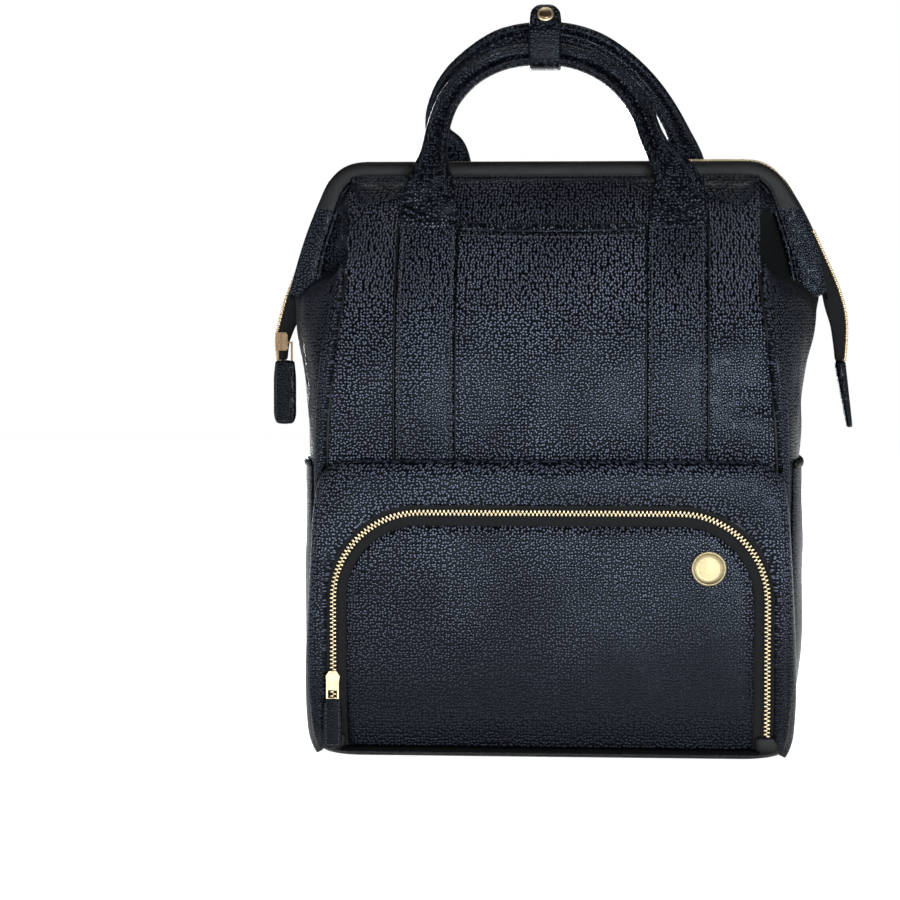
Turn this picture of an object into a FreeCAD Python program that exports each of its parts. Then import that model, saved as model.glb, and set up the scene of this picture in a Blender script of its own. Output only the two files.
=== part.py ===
"""A wide-mouth leather backpack for baby care: a box-shaped body, a hinged steel mouth frame closed by a zip,
a drop-front zipped pocket, two carrying handles held by a snap keeper, and padded shoulder straps.

Millimetres, +Z up. The origin is the centre of the base where the bag stands. -Y is the front, +X the wearer's left.
"""

import FreeCAD, Part
import math
import os
import Sketcher
from FreeCAD import Vector

doc = FreeCAD.newDocument("diaper_bag")
sheet = doc.addObject("Spreadsheet::Sheet", "Dimensions")

DIMENSIONS = {
    # lower shell
    "shell_base_half_width": 149,
    "shell_mid_half_width": 152.5,
    "shell_top_half_width": 160,
    "shell_half_depth": 78,
    "shell_corner": 34,
    "shell_mid": 190,
    "shell_top": 256,
    "wall": 2.4,
    "base_thickness": 4,
    "board_thickness": 2.5,
    "lining_gap": 0.6,
    "lining_top": 205,
    # mouth halves and their hinged steel frame
    "hinge_height": 288,
    "tent_bottom": 262,
    "tent_top": 370,
    "tent_base_half_width": 150,
    "tent_top_half_width": 129,
    "tent_base_depth": 73,
    "tent_shoulder_depth": 70,
    "tent_middle_depth": 52,
    "tent_top_depth": 19,
    "tent_thickness": 2.2,
    "frame_hinge_half_width": 165,
    "frame_top_half_width": 139,
    "frame_top": 375,
    "frame_bend": 22,
    "bar_thickness": 2.5,
    "bar_width": 10,
    "bar_offset": 8.5,
    "bar_spacing": 3,
    "rivet_radius": 2,
    "sleeve_thickness": 7,
    "sleeve_width": 13.6,
    "sleeve_bottom": 302,
    "chain_width": 5.8,
    "chain_thickness": 2,
    "chain_gap": 0.3,
    "tape_thickness": 0.8,
    "tape_width": 11,
    # zip tails, slider and leather pulls
    "tail_across": 181,
    "tail_top": 284,
    "tail_bottom": 252,
    "tail_width": 10,
    "pull_width": 15,
    "pull_length": 43,
    "pull_thickness": 3.4,
    # drop-front pocket
    "pocket_half_width": 148,
    "pocket_top": 188,
    "pocket_depth": 22,
    "pocket_corner": 24,
    "zip_half_width": 137,
    "zip_top": 159,
    "zip_corner": 55,
    "flap_inset": 9,
    "flap_bottom": 8,
    "flap_thickness": 3.4,
    "badge_radius": 10.8,
    "badge_across": 100,
    "badge_height": 125,
    # straps sewn on the front, and the slip pocket between them
    "strap_width": 38,
    "strap_spacing": 80,
    "strap_thickness": 2.6,
    "strap_bottom": 190,
    "slip_top": 336,
    "slip_thickness": 1.8,
    # handles and their keeper
    "handle_foot": 338,
    "handle_foot_depth": 56,
    "handle_radius": 76,
    "front_handle_height": 455,
    "rear_handle_height": 467.5,
    "handle_apex_depth": 4,
    "grip_width": 14,
    "grip_thickness": 9,
    "keeper_width": 21.5,
    "keeper_across": -3,
    "keeper_half_depth": 12.5,
    "keeper_bottom": 444,
    "keeper_top": 478.4,
    "keeper_tab_top": 488,
    "keeper_thickness": 2.2,
    # side pockets
    "side_pocket_bottom": 12,
    "side_pocket_top": 188,
    "side_pocket_half_depth": 56,
    "side_pocket_depth": 11,
    # back panel, shoulder straps and rings
    "back_pad_thickness": 7,
    "shoulder_thickness": 12,
    "shoulder_width": 56,
    "webbing_width": 25,
    "webbing_thickness": 2.4,
    "ring_wire": 3,
    "ring_width": 26,
}


class Size:
    """A dimension that knows its number and the expression that gives it in the document."""

    def __init__(self, number, text):
        self.number, self.text = number, text

    def _with(self, other, sign, number, swap=False):
        text = other.text if isinstance(other, Size) else repr(other)
        first, second = (text, self.text) if swap else (self.text, text)
        return Size(number, f"({first} {sign} {second})")

    def __float__(self):
        return float(self.number)

    def __neg__(self):
        return Size(-self.number, f"(0 - {self.text})")

    def __add__(self, other):
        return self._with(other, "+", float(self) + float(other))

    def __radd__(self, other):
        return self._with(other, "+", float(other) + float(self), True)

    def __sub__(self, other):
        return self._with(other, "-", float(self) - float(other))

    def __rsub__(self, other):
        return self._with(other, "-", float(other) - float(self), True)

    def __mul__(self, other):
        return self._with(other, "*", float(self) * float(other))

    def __rmul__(self, other):
        return self._with(other, "*", float(other) * float(self), True)

    def __truediv__(self, other):
        return self._with(other, "/", float(self) / float(other))


class Dimensions:
    """The driving dimensions by name, each bound to its own cell of the sheet."""


dim = Dimensions()
for row, (name, value) in enumerate(DIMENSIONS.items(), start=1):
    sheet.set(f"A{row}", name)
    sheet.set(f"B{row}", str(value))
    sheet.setAlias(f"B{row}", name)
    setattr(dim, name, Size(value, f"Dimensions.{name}"))
doc.recompute()

NODES = []


# ---------------------------------------------------------------- building blocks


def bind(thing, prop, size):
    """Sets a property from a number, or binds it to the sheet where the size comes from there."""
    if isinstance(size, Size):
        thing.setExpression(prop, size.text)
    else:
        setattr(thing, prop, size)


def place(thing, x=0, y=0, z=0):
    """Moves an object, bound to the sheet where a coordinate comes from there."""
    thing.Placement.Base = Vector(float(x), float(y), float(z))
    for axis, size in (("x", x), ("y", y), ("z", z)):
        if isinstance(size, Size):
            thing.setExpression(f"Placement.Base.{axis}", size.text)


def node(thing, label):
    """Names a finished sub-part and lists it for export."""
    thing.Label = label
    NODES.append(thing)
    return thing


def new_body(label):
    """A body that is a sub-part of its own."""
    return node(doc.addObject("PartDesign::Body", label), label)


def blank(label):
    """A body that only serves to make a sub-part."""
    body = doc.addObject("PartDesign::Body", label)
    body.Label = label
    return body


def fused(label, parts):
    """Pieces sewn or welded together into one sub-part."""
    joined = doc.addObject("Part::MultiFuse", label)
    joined.Shapes = parts
    return node(joined, label)


def cut_from(label, body, tool):
    """A sub-part that is one body less another."""
    made = doc.addObject("Part::Cut", label)
    made.Base, made.Tool = body, tool
    return node(made, label)


def new_sketch(body, plane, offset):
    """A sketch on one of its body's own origin planes, moved along that plane's normal."""
    sketch = body.newObject("Sketcher::SketchObject", "Sketch")
    origin = [f for f in body.Origin.OriginFeatures if f.Role == plane][0]
    sketch.AttachmentSupport = [(origin, "")]
    sketch.MapMode = "FlatFace"
    sketch.AttachmentOffset.Base = Vector(0, 0, float(offset))
    if isinstance(offset, Size):
        sketch.setExpression("AttachmentOffset.Base.z", offset.text)
    return sketch


def outline(sketch, corners):
    """A closed polygon whose corners are all bound to the sheet."""
    points = [Vector(float(x), float(y), 0) for x, y in corners]
    count = len(points)
    for i in range(count):
        sketch.addGeometry(Part.LineSegment(points[i], points[(i + 1) % count]), False)
    for i in range(count):
        sketch.addConstraint(Sketcher.Constraint("Coincident", i, 2, (i + 1) % count, 1))
    for i, (x, y) in enumerate(corners):
        for kind, size in (("DistanceX", x), ("DistanceY", y)):
            index = sketch.addConstraint(Sketcher.Constraint(kind, -1, 1, i, 1, float(size)))
            if isinstance(size, Size):
                sketch.setExpression(f"Constraints[{index}]", size.text)
    return sketch


def pad(body, plane, offset, corners, length):
    """Pads a polygon along its plane's normal."""
    feature = body.newObject("PartDesign::Pad", "Pad")
    feature.Profile = outline(new_sketch(body, plane, offset), corners)
    bind(feature, "Length", length)
    doc.recompute()
    return feature


def cut(body, plane, offset, corners, depth):
    """Pockets a polygon, cutting against its plane's normal."""
    before = body.Shape.Volume
    feature = body.newObject("PartDesign::Pocket", "Pocket")
    feature.Profile = outline(new_sketch(body, plane, offset), corners)
    bind(feature, "Length", depth)
    doc.recompute()
    if body.Shape.Volume >= before:
        raise ValueError(f"{body.Label}: a pocket cut nothing")
    return feature


def soften(body, radius, picks):
    """Fillets the edges whose middle and direction the picks function accepts."""
    names = []
    for i, edge in enumerate(body.Shape.Edges, start=1):
        middle = edge.valueAt((edge.FirstParameter + edge.LastParameter) / 2)
        straight = edge.valueAt(edge.LastParameter) - edge.valueAt(edge.FirstParameter)
        if straight.Length > 0 and picks(middle, straight.normalize()):
            names.append(f"Edge{i}")
    base = body.Tip
    feature = body.newObject("PartDesign::Fillet", "Fillet")
    feature.Base = (base, names)
    bind(feature, "Radius", radius)
    doc.recompute()
    return feature


def along(axis):
    """A pick of the edges that run along one axis."""
    return lambda middle, way: abs(getattr(way, axis)) > 0.999


def rectangle(low_x, high_x, low_y, high_y):
    return [(low_x, low_y), (high_x, low_y), (high_x, high_y), (low_x, high_y)]


def plate(label, plane, offset, box, thickness, corner=None, axis=None):
    """A rectangular plate, padded along its plane's normal, with its corners rounded if asked."""
    body = new_body(label)
    pad(body, plane, offset, rectangle(*box), thickness)
    if corner is not None:
        soften(body, corner, along(axis))
    return body


def cylinder(label, radius, length, x, y, z, turn):
    """A round bar from a point, turned from +Z by a rotation."""
    bar = doc.addObject("Part::Cylinder", label)
    bind(bar, "Radius", radius)
    bind(bar, "Height", length)
    bar.Placement.Rotation = turn
    place(bar, x, y, z)
    return bar


ALONG_X = FreeCAD.Rotation(Vector(0, 1, 0), 90)
TOWARDS_FRONT = FreeCAD.Rotation(Vector(1, 0, 0), 90)
HALF_TURN = FreeCAD.Rotation(Vector(0, 0, 1), 180)


def solid_feature(label, shape):
    """A sub-part whose shape comes from Part's own functions."""
    feature = doc.addObject("Part::Feature", label)
    feature.Shape = shape
    return node(feature, label)


def rounded_wire(points, radius):
    """Straight runs joined by tangent arcs."""
    edges, start = [], points[0]
    for i in range(1, len(points) - 1):
        corner = points[i]
        back = (points[i - 1] - corner).normalize()
        ahead = (points[i + 1] - corner).normalize()
        half = back.getAngle(ahead) / 2
        reach = radius / math.tan(half)
        first, last = corner + back * reach, corner + ahead * reach
        inward = (back + ahead).normalize()
        middle = corner + inward * (radius / math.sin(half) - radius)
        edges += [Part.LineSegment(start, first).toShape(), Part.Arc(first, middle, last).toShape()]
        start = last
    edges.append(Part.LineSegment(start, points[-1]).toShape())
    return Part.Wire(edges)


def swept(wire, section):
    """Sweeps a closed section along a wire as a solid."""
    maker = Part.BRepOffsetAPI.MakePipeShell(wire)
    maker.setFrenetMode(True)
    maker.add(section, False, False)
    maker.build()
    maker.makeSolid()
    return maker.shape()


def section_at(wire, across, up, low, high, low_up, high_up):
    """A rectangle at a wire's start, measured along two directions from it."""
    start = wire.OrderedEdges[0].valueAt(wire.OrderedEdges[0].FirstParameter)
    corners = [
        start + across * a + up * b
        for a, b in ((low, low_up), (high, low_up), (high, high_up), (low, high_up))
    ]
    return Part.makePolygon(corners + corners[:1])


# ---------------------------------------------------------------- lower shell


def shell_half_width(height):
    """Half the shell's width at a height: it widens from the base to the mouth."""
    steps = (
        (0, float(dim.shell_base_half_width)),
        (float(dim.shell_mid), float(dim.shell_mid_half_width)),
        (float(dim.shell_top), float(dim.shell_top_half_width)),
    )
    for (low, narrow), (high, wide) in zip(steps, steps[1:]):
        if height <= high:
            break
    return narrow + (wide - narrow) * (height - low) / (high - low)


def gusset_wire(half_width, half_depth, corner, thickness, z):
    """The C-shaped outline of a side gusset that wraps both corners of the shell."""
    lean = math.sqrt(0.5)

    def run(x, y, r):
        mid_x, mid_y = half_width - corner + r * lean, half_depth - corner + r * lean
        return [
            Part.Arc(Vector(half_width - corner, -y, z), Vector(mid_x, -mid_y, z), Vector(x, corner - half_depth, z)),
            Part.LineSegment(Vector(x, corner - half_depth, z), Vector(x, half_depth - corner, z)),
            Part.Arc(Vector(x, half_depth - corner, z), Vector(mid_x, mid_y, z), Vector(half_width - corner, y, z)),
        ]

    outer = run(half_width, half_depth, corner)
    inner = run(half_width - thickness, half_depth - thickness, corner - thickness)
    joins = [
        Part.LineSegment(outer[2].EndPoint, inner[2].EndPoint),
        Part.LineSegment(inner[0].StartPoint, outer[0].StartPoint),
    ]
    parts = outer + [joins[0]] + inner + [joins[1]]
    return Part.Wire(Part.__sortEdges__([p.toShape() for p in parts]))


def gusset(side):
    heights = (float(dim.base_thickness) + 0.1, float(dim.shell_mid), float(dim.shell_top))
    wires = [
        gusset_wire(
            shell_half_width(z), float(dim.shell_half_depth), float(dim.shell_corner), float(dim.wall), z
        )
        for z in heights
    ]
    made = solid_feature(f"side_gusset_{side}", Part.makeLoft(wires, True, True))
    if side == "left":
        made.Placement.Rotation = HALF_TURN
    return made


def base_panel():
    half = dim.shell_base_half_width
    depth = dim.shell_half_depth
    body = plate("base_panel", "XY_Plane", 0, (-half, half, -depth, depth), dim.base_thickness, dim.shell_corner, "z")
    soften(body, 1.5, lambda middle, way: middle.z < 0.01)


def base_board():
    half = dim.shell_base_half_width - dim.wall - 2
    depth = dim.shell_half_depth - dim.wall - 1
    box = (-half, half, -depth, depth)
    plate("base_board", "XY_Plane", dim.base_thickness + 0.1, box, dim.board_thickness, dim.shell_corner - 4, "z")


def flat_wall(label, front):
    """The front or back wall between the gussets' seams."""
    low = dim.shell_base_half_width - dim.shell_corner
    middle = dim.shell_mid_half_width - dim.shell_corner
    high = dim.shell_top_half_width - dim.shell_corner
    right = [(low, dim.base_thickness + 0.1), (middle, dim.shell_mid), (high, dim.shell_top)]
    corners = right + [(-across, height) for across, height in reversed(right)]
    offset = dim.shell_half_depth - dim.wall if front else -dim.shell_half_depth
    pad(new_body(label), "XZ_Plane", offset, corners, dim.wall)


def lining():
    """The loose cloth lining: an open-topped pouch inside the walls."""
    body = new_body("lining")
    half = dim.shell_base_half_width - dim.wall - dim.lining_gap - 3
    depth = dim.shell_half_depth - dim.wall - dim.lining_gap
    bottom = dim.base_thickness + dim.board_thickness + 0.4
    pad(body, "XY_Plane", bottom, rectangle(-half, half, -depth, depth), dim.lining_top - bottom)
    soften(body, dim.shell_corner - 6, along("z"))
    cut(
        body,
        "XY_Plane",
        dim.lining_top,
        rectangle(1 - half, half - 1, 1 - depth, depth - 1),
        dim.lining_top - bottom - 1,
    )


def side_pocket(side):
    """An open-topped slip pocket that uses the gusset as its inner wall."""
    sign = 1 if side == "right" else -1
    inner = sign * (dim.shell_mid_half_width + 0.6)
    outer = inner + sign * dim.side_pocket_depth
    depth, low, high = dim.side_pocket_half_depth, dim.side_pocket_bottom, dim.side_pocket_top
    thin = sign * 1.8
    body = new_body(f"side_pocket_{side}")
    pad(body, "XY_Plane", low, rectangle(inner, outer, -depth, depth), high - low)
    soften(body, 7, lambda middle, way: abs(way.z) > 0.99 and abs(middle.x) > abs(float(inner)) + 3)
    pocket = rectangle(inner - thin, outer - thin, 1.8 - depth, depth - 1.8)
    cut(body, "XY_Plane", high, pocket, high - low - 2)


# ---------------------------------------------------------------- mouth halves


def tent_depth(height):
    """How far the mouth's panel stands from the middle plane at a height."""
    steps = (
        (float(dim.tent_bottom), float(dim.tent_base_depth)),
        (float(dim.hinge_height) + 8, float(dim.tent_shoulder_depth)),
        (335.0, float(dim.tent_middle_depth)),
        (float(dim.tent_top), float(dim.tent_top_depth)),
    )
    for (low, near), (high, far) in zip(steps, steps[1:]):
        if height <= high:
            break
    return near + (far - near) * (height - low) / (high - low)


def leg_half_width(height):
    """Half the distance between the frame's legs at a height."""
    low, high = float(dim.hinge_height) + 8, float(dim.frame_top)
    wide, narrow = float(dim.frame_hinge_half_width), float(dim.frame_top_half_width)
    return wide + (narrow - wide) * (height - low) / (high - low)


def tent_wire(height, side_half_width, end_half_width, end_depth):
    """The outline of a mouth half at a height: across the front and back along both cheeks to the frame's legs."""
    depth, thin = tent_depth(height), float(dim.tent_thickness)
    front_half = side_half_width - 20

    def half(sign, inset):
        return [
            Vector(sign * (end_half_width - inset), -end_depth, height),
            Vector(sign * (side_half_width - inset), -depth * 0.62, height),
            Vector(sign * (front_half - inset * 0.4), inset - depth, height),
        ]

    outer = half(-1, 0) + half(1, 0)[::-1]
    inner = half(1, thin) + half(-1, thin)[::-1]
    corners = outer + inner
    return Part.makePolygon(corners + corners[:1])


def mouth_panel(label, rear):
    """The leather of one mouth half: the front or back yoke with the cheeks that fold in to the frame."""
    heights = (float(dim.tent_bottom), float(dim.hinge_height) + 8, 335.0, float(dim.tent_top))
    sides = (float(dim.tent_base_half_width), 150.0, 142.0, float(dim.tent_top_half_width))
    ends = (float(dim.tent_base_half_width) - 1, 157.0, 146.0, float(dim.tent_top_half_width) + 2)
    depths = (26.5, 3.0, 10.0, 8.5)
    wires = [tent_wire(*each) for each in zip(heights, sides, ends, depths)]
    made = solid_feature(label, Part.makeLoft(wires, True, True))
    if rear:
        made.Placement.Rotation = HALF_TURN


def frame_route(outset, bottom=None):
    """The line of the mouth frame, a wide U upside down, moved outwards by an offset."""
    shoulder = float(dim.hinge_height) + 8
    slope = (float(dim.frame_hinge_half_width) - float(dim.frame_top_half_width)) / (float(dim.frame_top) - shoulder)
    lean = math.hypot(1, slope)
    top = float(dim.frame_top) + outset

    def leg(z):
        return float(dim.frame_hinge_half_width) - (z - shoulder) * slope + outset * lean

    if bottom is None:
        foot = [Vector(leg(shoulder), 0, float(dim.hinge_height) - 4), Vector(leg(shoulder), 0, shoulder)]
    else:
        foot = [Vector(leg(bottom), 0, bottom)]
    right = foot + [Vector(leg(top), 0, top)]
    left = [Vector(-p.x, 0, p.z) for p in reversed(right)]
    return right + left


def frame_bar(label, rear):
    """A flat steel bar bent to a U, with an eye at each end for the hinge rivet."""
    extra = float(dim.bar_spacing) if rear else 0.0
    route = rounded_wire([p + Vector(math.copysign(extra, p.x), 0, 0) for p in frame_route(0)], float(dim.frame_bend))
    centre, half = float(dim.bar_offset), float(dim.bar_width) / 2
    thin = float(dim.bar_thickness) / 2
    low, high = (centre - half, centre + half) if rear else (-centre - half, half - centre)
    section = section_at(route, Vector(0, 1, 0), Vector(1, 0, 0), low, high, -thin, thin)
    bar = swept(route, section)
    for sign in (-1, 1):
        across = sign * (float(dim.frame_hinge_half_width) + extra) - thin
        hinge = Vector(across, 0, float(dim.hinge_height))
        eye = Part.makeCylinder(6, 2 * thin, hinge, Vector(1, 0, 0))
        hole = Part.makeCylinder(float(dim.rivet_radius) + 0.06, 4 * thin, hinge - Vector(thin, 0, 0), Vector(1, 0, 0))
        bar = bar.fuse(eye).cut(hole)
    solid_feature(label, bar.removeSplitter())


def frame_sleeve(label, rear):
    """The leather tube that covers a frame bar along the mouth."""
    extra = float(dim.bar_spacing) if rear else 0.0
    points = [p + Vector(math.copysign(extra, p.x), 0, 0) for p in frame_route(0, float(dim.sleeve_bottom))]
    route = rounded_wire(points, float(dim.frame_bend))
    centre = float(dim.bar_offset) * (1 if rear else -1)
    way = route.OrderedEdges[0].tangentAt(0)
    normal = Vector(way.z, 0, -way.x)

    def tube(half_width, half_thickness):
        return swept(
            route,
            section_at(
                route,
                Vector(0, 1, 0),
                normal,
                centre - half_width,
                centre + half_width,
                -half_thickness,
                half_thickness,
            ),
        )

    outer = tube(float(dim.sleeve_width) / 2, float(dim.sleeve_thickness) / 2)
    inner = tube(float(dim.bar_width) / 2 + 0.1, float(dim.bar_thickness) / 2 + 0.1)
    solid_feature(label, outer.cut(inner))


def mouth_zip(side, rear):
    """One half of the mouth zip, its tape and chain, laid on the outside of the frame's sleeve."""
    outset = float(dim.sleeve_thickness) / 2 + float(dim.bar_spacing) + 1.2
    route = rounded_wire(frame_route(outset, float(dim.hinge_height) + 4), float(dim.frame_bend) + outset)
    way = route.OrderedEdges[0].tangentAt(0)
    normal = Vector(way.z, 0, -way.x)

    def strip(low, high, thickness):
        if not rear:
            low, high = -high, -low
        return swept(route, section_at(route, Vector(0, 1, 0), normal, low, high, 0, thickness))

    edge = float(dim.chain_width) / 2
    chain = strip(float(dim.chain_gap), edge, float(dim.chain_thickness))
    tape = strip(edge, edge + float(dim.tape_width), float(dim.tape_thickness))
    solid_feature(f"mouth_zip_{side}", chain.fuse(tape).removeSplitter())


def hinge_rivet(side):
    """The rivet through both bars' eyes, headed at each end."""
    sign = 1 if side == "right" else -1
    half = dim.bar_thickness / 2
    inner = dim.frame_hinge_half_width - half - 0.3
    outer = dim.frame_hinge_half_width + dim.bar_spacing + half + 0.3
    turn = FreeCAD.Rotation(Vector(0, 1, 0), 90 * sign)
    name = f"hinge_rivet_{side}"
    shank = cylinder(name + "_shank", dim.rivet_radius, outer - inner, sign * inner, 0, dim.hinge_height, turn)
    heads = [
        cylinder(name + "_tail", dim.rivet_radius * 1.8, 1, sign * (inner - 1), 0, dim.hinge_height, turn),
        cylinder(name + "_head", dim.rivet_radius * 1.8, 1, sign * outer, 0, dim.hinge_height, turn),
    ]
    fused(name, [shank] + heads)


# ---------------------------------------------------------------- zip tails, slider and pulls


def zip_tail(side):
    """The end of the mouth zip beyond the hinge: two tapes folded together, with the chain on the outer edge."""
    sign = 1 if side == "right" else -1
    edge, width, top, low = dim.tail_across, dim.tail_width, dim.tail_top, dim.tail_bottom
    tape = blank(f"zip_tail_tape_{side}")
    sheet_edge = [
        (sign * (edge - width), top),
        (sign * edge, top),
        (sign * edge, low),
        (sign * (edge - width + 4), low),
    ]
    pad(tape, "XZ_Plane", -1.2, sheet_edge, 2.4)
    chain = blank(f"zip_tail_chain_{side}")
    run = rectangle(sign * edge, sign * (edge + dim.chain_thickness), low, top)
    pad(chain, "XZ_Plane", dim.chain_width / -2, run, dim.chain_width)
    fused(f"zip_tail_{side}", [tape, chain])


def end_tab(side):
    """The leather tab sewn over a tail's end: a long pull on the right, a short cap on the left."""
    sign, length, half = (1, dim.pull_length, dim.pull_width / 2) if side == "right" else (-1, 8, 2.6)
    top = dim.tail_bottom - 0.2
    low = top - length
    near = dim.tail_across - 3
    body = new_body(f"zip_end_tab_{side}")
    pad(body, "XZ_Plane", -half, rectangle(sign * near, sign * (near + 5), low, top), 2 * half)
    soften(body, 2, lambda middle, way: abs(way.x) > 0.99 and middle.z < float(low) + 1)


SLIDER_CENTRE = -dim.tail_across - 1
PULL_CENTRE = SLIDER_CENTRE + 3
SLIDER_LOW = dim.tail_bottom + 7
SLIDER_LENGTH = 12


def mouth_slider():
    """The slider on the left-hand tail: a shell round the chain, open along its inner side, with a bail in front."""
    body = new_body("mouth_slider")
    centre, low, high = SLIDER_CENTRE, SLIDER_LOW, SLIDER_LOW + SLIDER_LENGTH
    pad(body, "XZ_Plane", -5.2, rectangle(centre - 3.4, centre + 4, low, high), 10.4)
    cut(body, "XZ_Plane", 3.3, rectangle(centre - 2, centre + 5, low - 1, high + 1), 6.6)
    bail = PULL_CENTRE
    pad(body, "XZ_Plane", 5.2, rectangle(bail - 2, bail + 2, low + 1, high - 1), 3)
    cut(body, "XZ_Plane", 7, rectangle(bail - 3, bail + 3, low + 3, high - 3), 1.8)


def mouth_pull():
    """The pull that hangs from the slider: a wire loop through the bail, and a folded leather tab."""
    centre, middle, wire = PULL_CENTRE, 6.1, 1.2
    pin, foot = SLIDER_LOW + 5.4, SLIDER_LOW - 8
    loop = new_body("mouth_pull_loop")
    pad(loop, "XZ_Plane", middle - wire / 2, rectangle(centre - 5.2, centre + 5.2, foot, pin + wire / 2), wire)
    hole = rectangle(centre - 4, centre + 4, foot + wire, pin - wire / 2)
    cut(loop, "XZ_Plane", middle + wire, hole, 2 * wire)
    leather = new_body("mouth_pull_tab")
    half, top = dim.pull_width / 2, foot + 2
    low = top - dim.pull_length
    corners = [
        (centre - half + 4, low),
        (centre + half - 4, low),
        (centre + half, low + 5),
        (centre + half, top),
        (centre - half, top),
        (centre - half, low + 5),
    ]
    pad(leather, "XZ_Plane", middle - dim.pull_thickness / 2, corners, dim.pull_thickness)
    slot = rectangle(centre - 5.4, centre + 5.4, foot - 0.2, top + 1)
    cut(leather, "XZ_Plane", middle + 0.8, slot, 1.6)


# ---------------------------------------------------------------- drop-front pocket


def arch(half_width, top, bottom):
    return rectangle(-half_width, half_width, bottom, top)


def top_corners(body, radius, top):
    """Rounds the two top corners of a plate that faces forward."""
    soften(body, radius, lambda middle, way: abs(way.y) > 0.99 and middle.z > float(top) - 1)


FLAP_BACK = dim.shell_half_depth + dim.pocket_depth - dim.wall


def zip_strip(label, back, thickness, inside, outside, bottom):
    """A strip of the pocket's zip between two distances from its centre line."""
    half, top = dim.zip_half_width, dim.zip_top
    outer, hole = blank(label + "_outer_edge"), blank(label + "_inner_edge")
    pad(outer, "XZ_Plane", back, arch(half + outside, top + outside, bottom), thickness)
    top_corners(outer, dim.zip_corner + outside, top + outside)
    pad(hole, "XZ_Plane", back - 1, arch(half + inside, top + inside, bottom - 1), thickness + 2)
    top_corners(hole, dim.zip_corner + inside, top + inside)
    strip = doc.addObject("Part::Cut", label)
    strip.Base, strip.Tool = outer, hole
    return strip


def pocket_zip(side, inward):
    """One half of the pocket's zip: its chain beside the centre line and its tape behind the leather."""
    edge, gap, low = dim.chain_width / 2, dim.chain_gap, dim.flap_bottom + 1
    tape_width = dim.tape_width if inward else dim.tape_width - 6
    chain, tape = (gap, edge), (gap, edge + tape_width)
    if inward:
        chain, tape = (-edge, -gap), (-edge - tape_width, -gap)
    fused(
        f"pocket_zip_{side}",
        [
            zip_strip(f"pocket_chain_{side}", FLAP_BACK - 0.3, dim.chain_thickness + 0.5, *chain, low),
            zip_strip(f"pocket_tape_{side}", FLAP_BACK - 1.1, dim.tape_thickness, *tape, low),
        ],
    )


def pocket_surround():
    """The pocket's fixed leather: its raised rim and the front border outside the zip."""
    body, hole = blank("pocket_shell"), blank("pocket_mouth")
    half, top, low = dim.pocket_half_width, dim.pocket_top, 2
    pad(body, "XZ_Plane", dim.shell_half_depth + 0.1, arch(half, top, low), dim.pocket_depth - 0.1)
    top_corners(body, dim.pocket_corner, top)
    cut(
        body,
        "XZ_Plane",
        FLAP_BACK,
        arch(half - dim.wall, top - dim.wall, low + dim.wall),
        dim.pocket_depth - dim.wall - 0.1,
    )
    edge = dim.chain_width / 2 + 0.5
    pad(hole, "XZ_Plane", FLAP_BACK - 1, arch(dim.zip_half_width + edge, dim.zip_top + edge, dim.flap_bottom), 6)
    top_corners(hole, dim.zip_corner + edge, dim.zip_top + edge)
    cut_from("pocket_surround", body, hole)


def pocket_flap():
    """The pocket's drop-front: a padded panel inside the zip."""
    body = new_body("pocket_flap")
    half, top = dim.zip_half_width - dim.flap_inset, dim.zip_top - dim.flap_inset
    pad(body, "XZ_Plane", FLAP_BACK, arch(half, top, dim.flap_bottom + 1), dim.flap_thickness)
    top_corners(body, dim.zip_corner - dim.flap_inset, top)
    cut(
        body,
        "XZ_Plane",
        FLAP_BACK + dim.flap_thickness,
        rectangle(
            dim.badge_across - 1.2, dim.badge_across + 1.2, dim.badge_height - 1.2, dim.badge_height + 1.2
        ),
        dim.flap_thickness,
    )


def badge():
    """A plain round metal badge with a raised rim, held by a short post through the flap."""
    front = dim.shell_half_depth + dim.pocket_depth - dim.wall + dim.flap_thickness
    across, height = dim.badge_across, dim.badge_height
    disc = cylinder("badge_plate", dim.badge_radius, 1.2, across, -front, height, TOWARDS_FRONT)
    rim_out = cylinder("badge_rim_outer", dim.badge_radius, 0.6, across, -front - 1.2, height, TOWARDS_FRONT)
    rim_in = cylinder("badge_rim_inner", dim.badge_radius - 1.1, 0.6, across, -front - 1.2, height, TOWARDS_FRONT)
    rim = doc.addObject("Part::Cut", "badge_rim")
    rim.Base, rim.Tool = rim_out, rim_in
    post = cylinder("badge_post", 1, dim.flap_thickness + 1, across, 1 - FLAP_BACK, height, TOWARDS_FRONT)
    fused("badge", [disc, rim, post])


POCKET_SLIDER_HEIGHT = 46


def pocket_slider():
    """The pocket's slider, in front of the chain on its left-hand run, with a bail for the pull."""
    body = new_body("pocket_slider")
    centre = -dim.zip_half_width
    low, high = POCKET_SLIDER_HEIGHT, POCKET_SLIDER_HEIGHT + 12
    front = FLAP_BACK + dim.chain_thickness + 0.6
    shape = [
        (centre - 3.6, low),
        (centre + 3.6, low),
        (centre + 4.4, high - 3),
        (centre + 2.4, high),
        (centre - 2.4, high),
        (centre - 4.4, high - 3),
    ]
    pad(body, "XZ_Plane", front, shape, 1.4)
    pad(body, "XZ_Plane", front + 1.4, rectangle(centre - 1.6, centre + 1.6, low + 1, high - 1), 2.8)
    cut(body, "XZ_Plane", front + 3.1, rectangle(centre - 3, centre + 3, low + 2.6, high - 2.6), 1.7)


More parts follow.
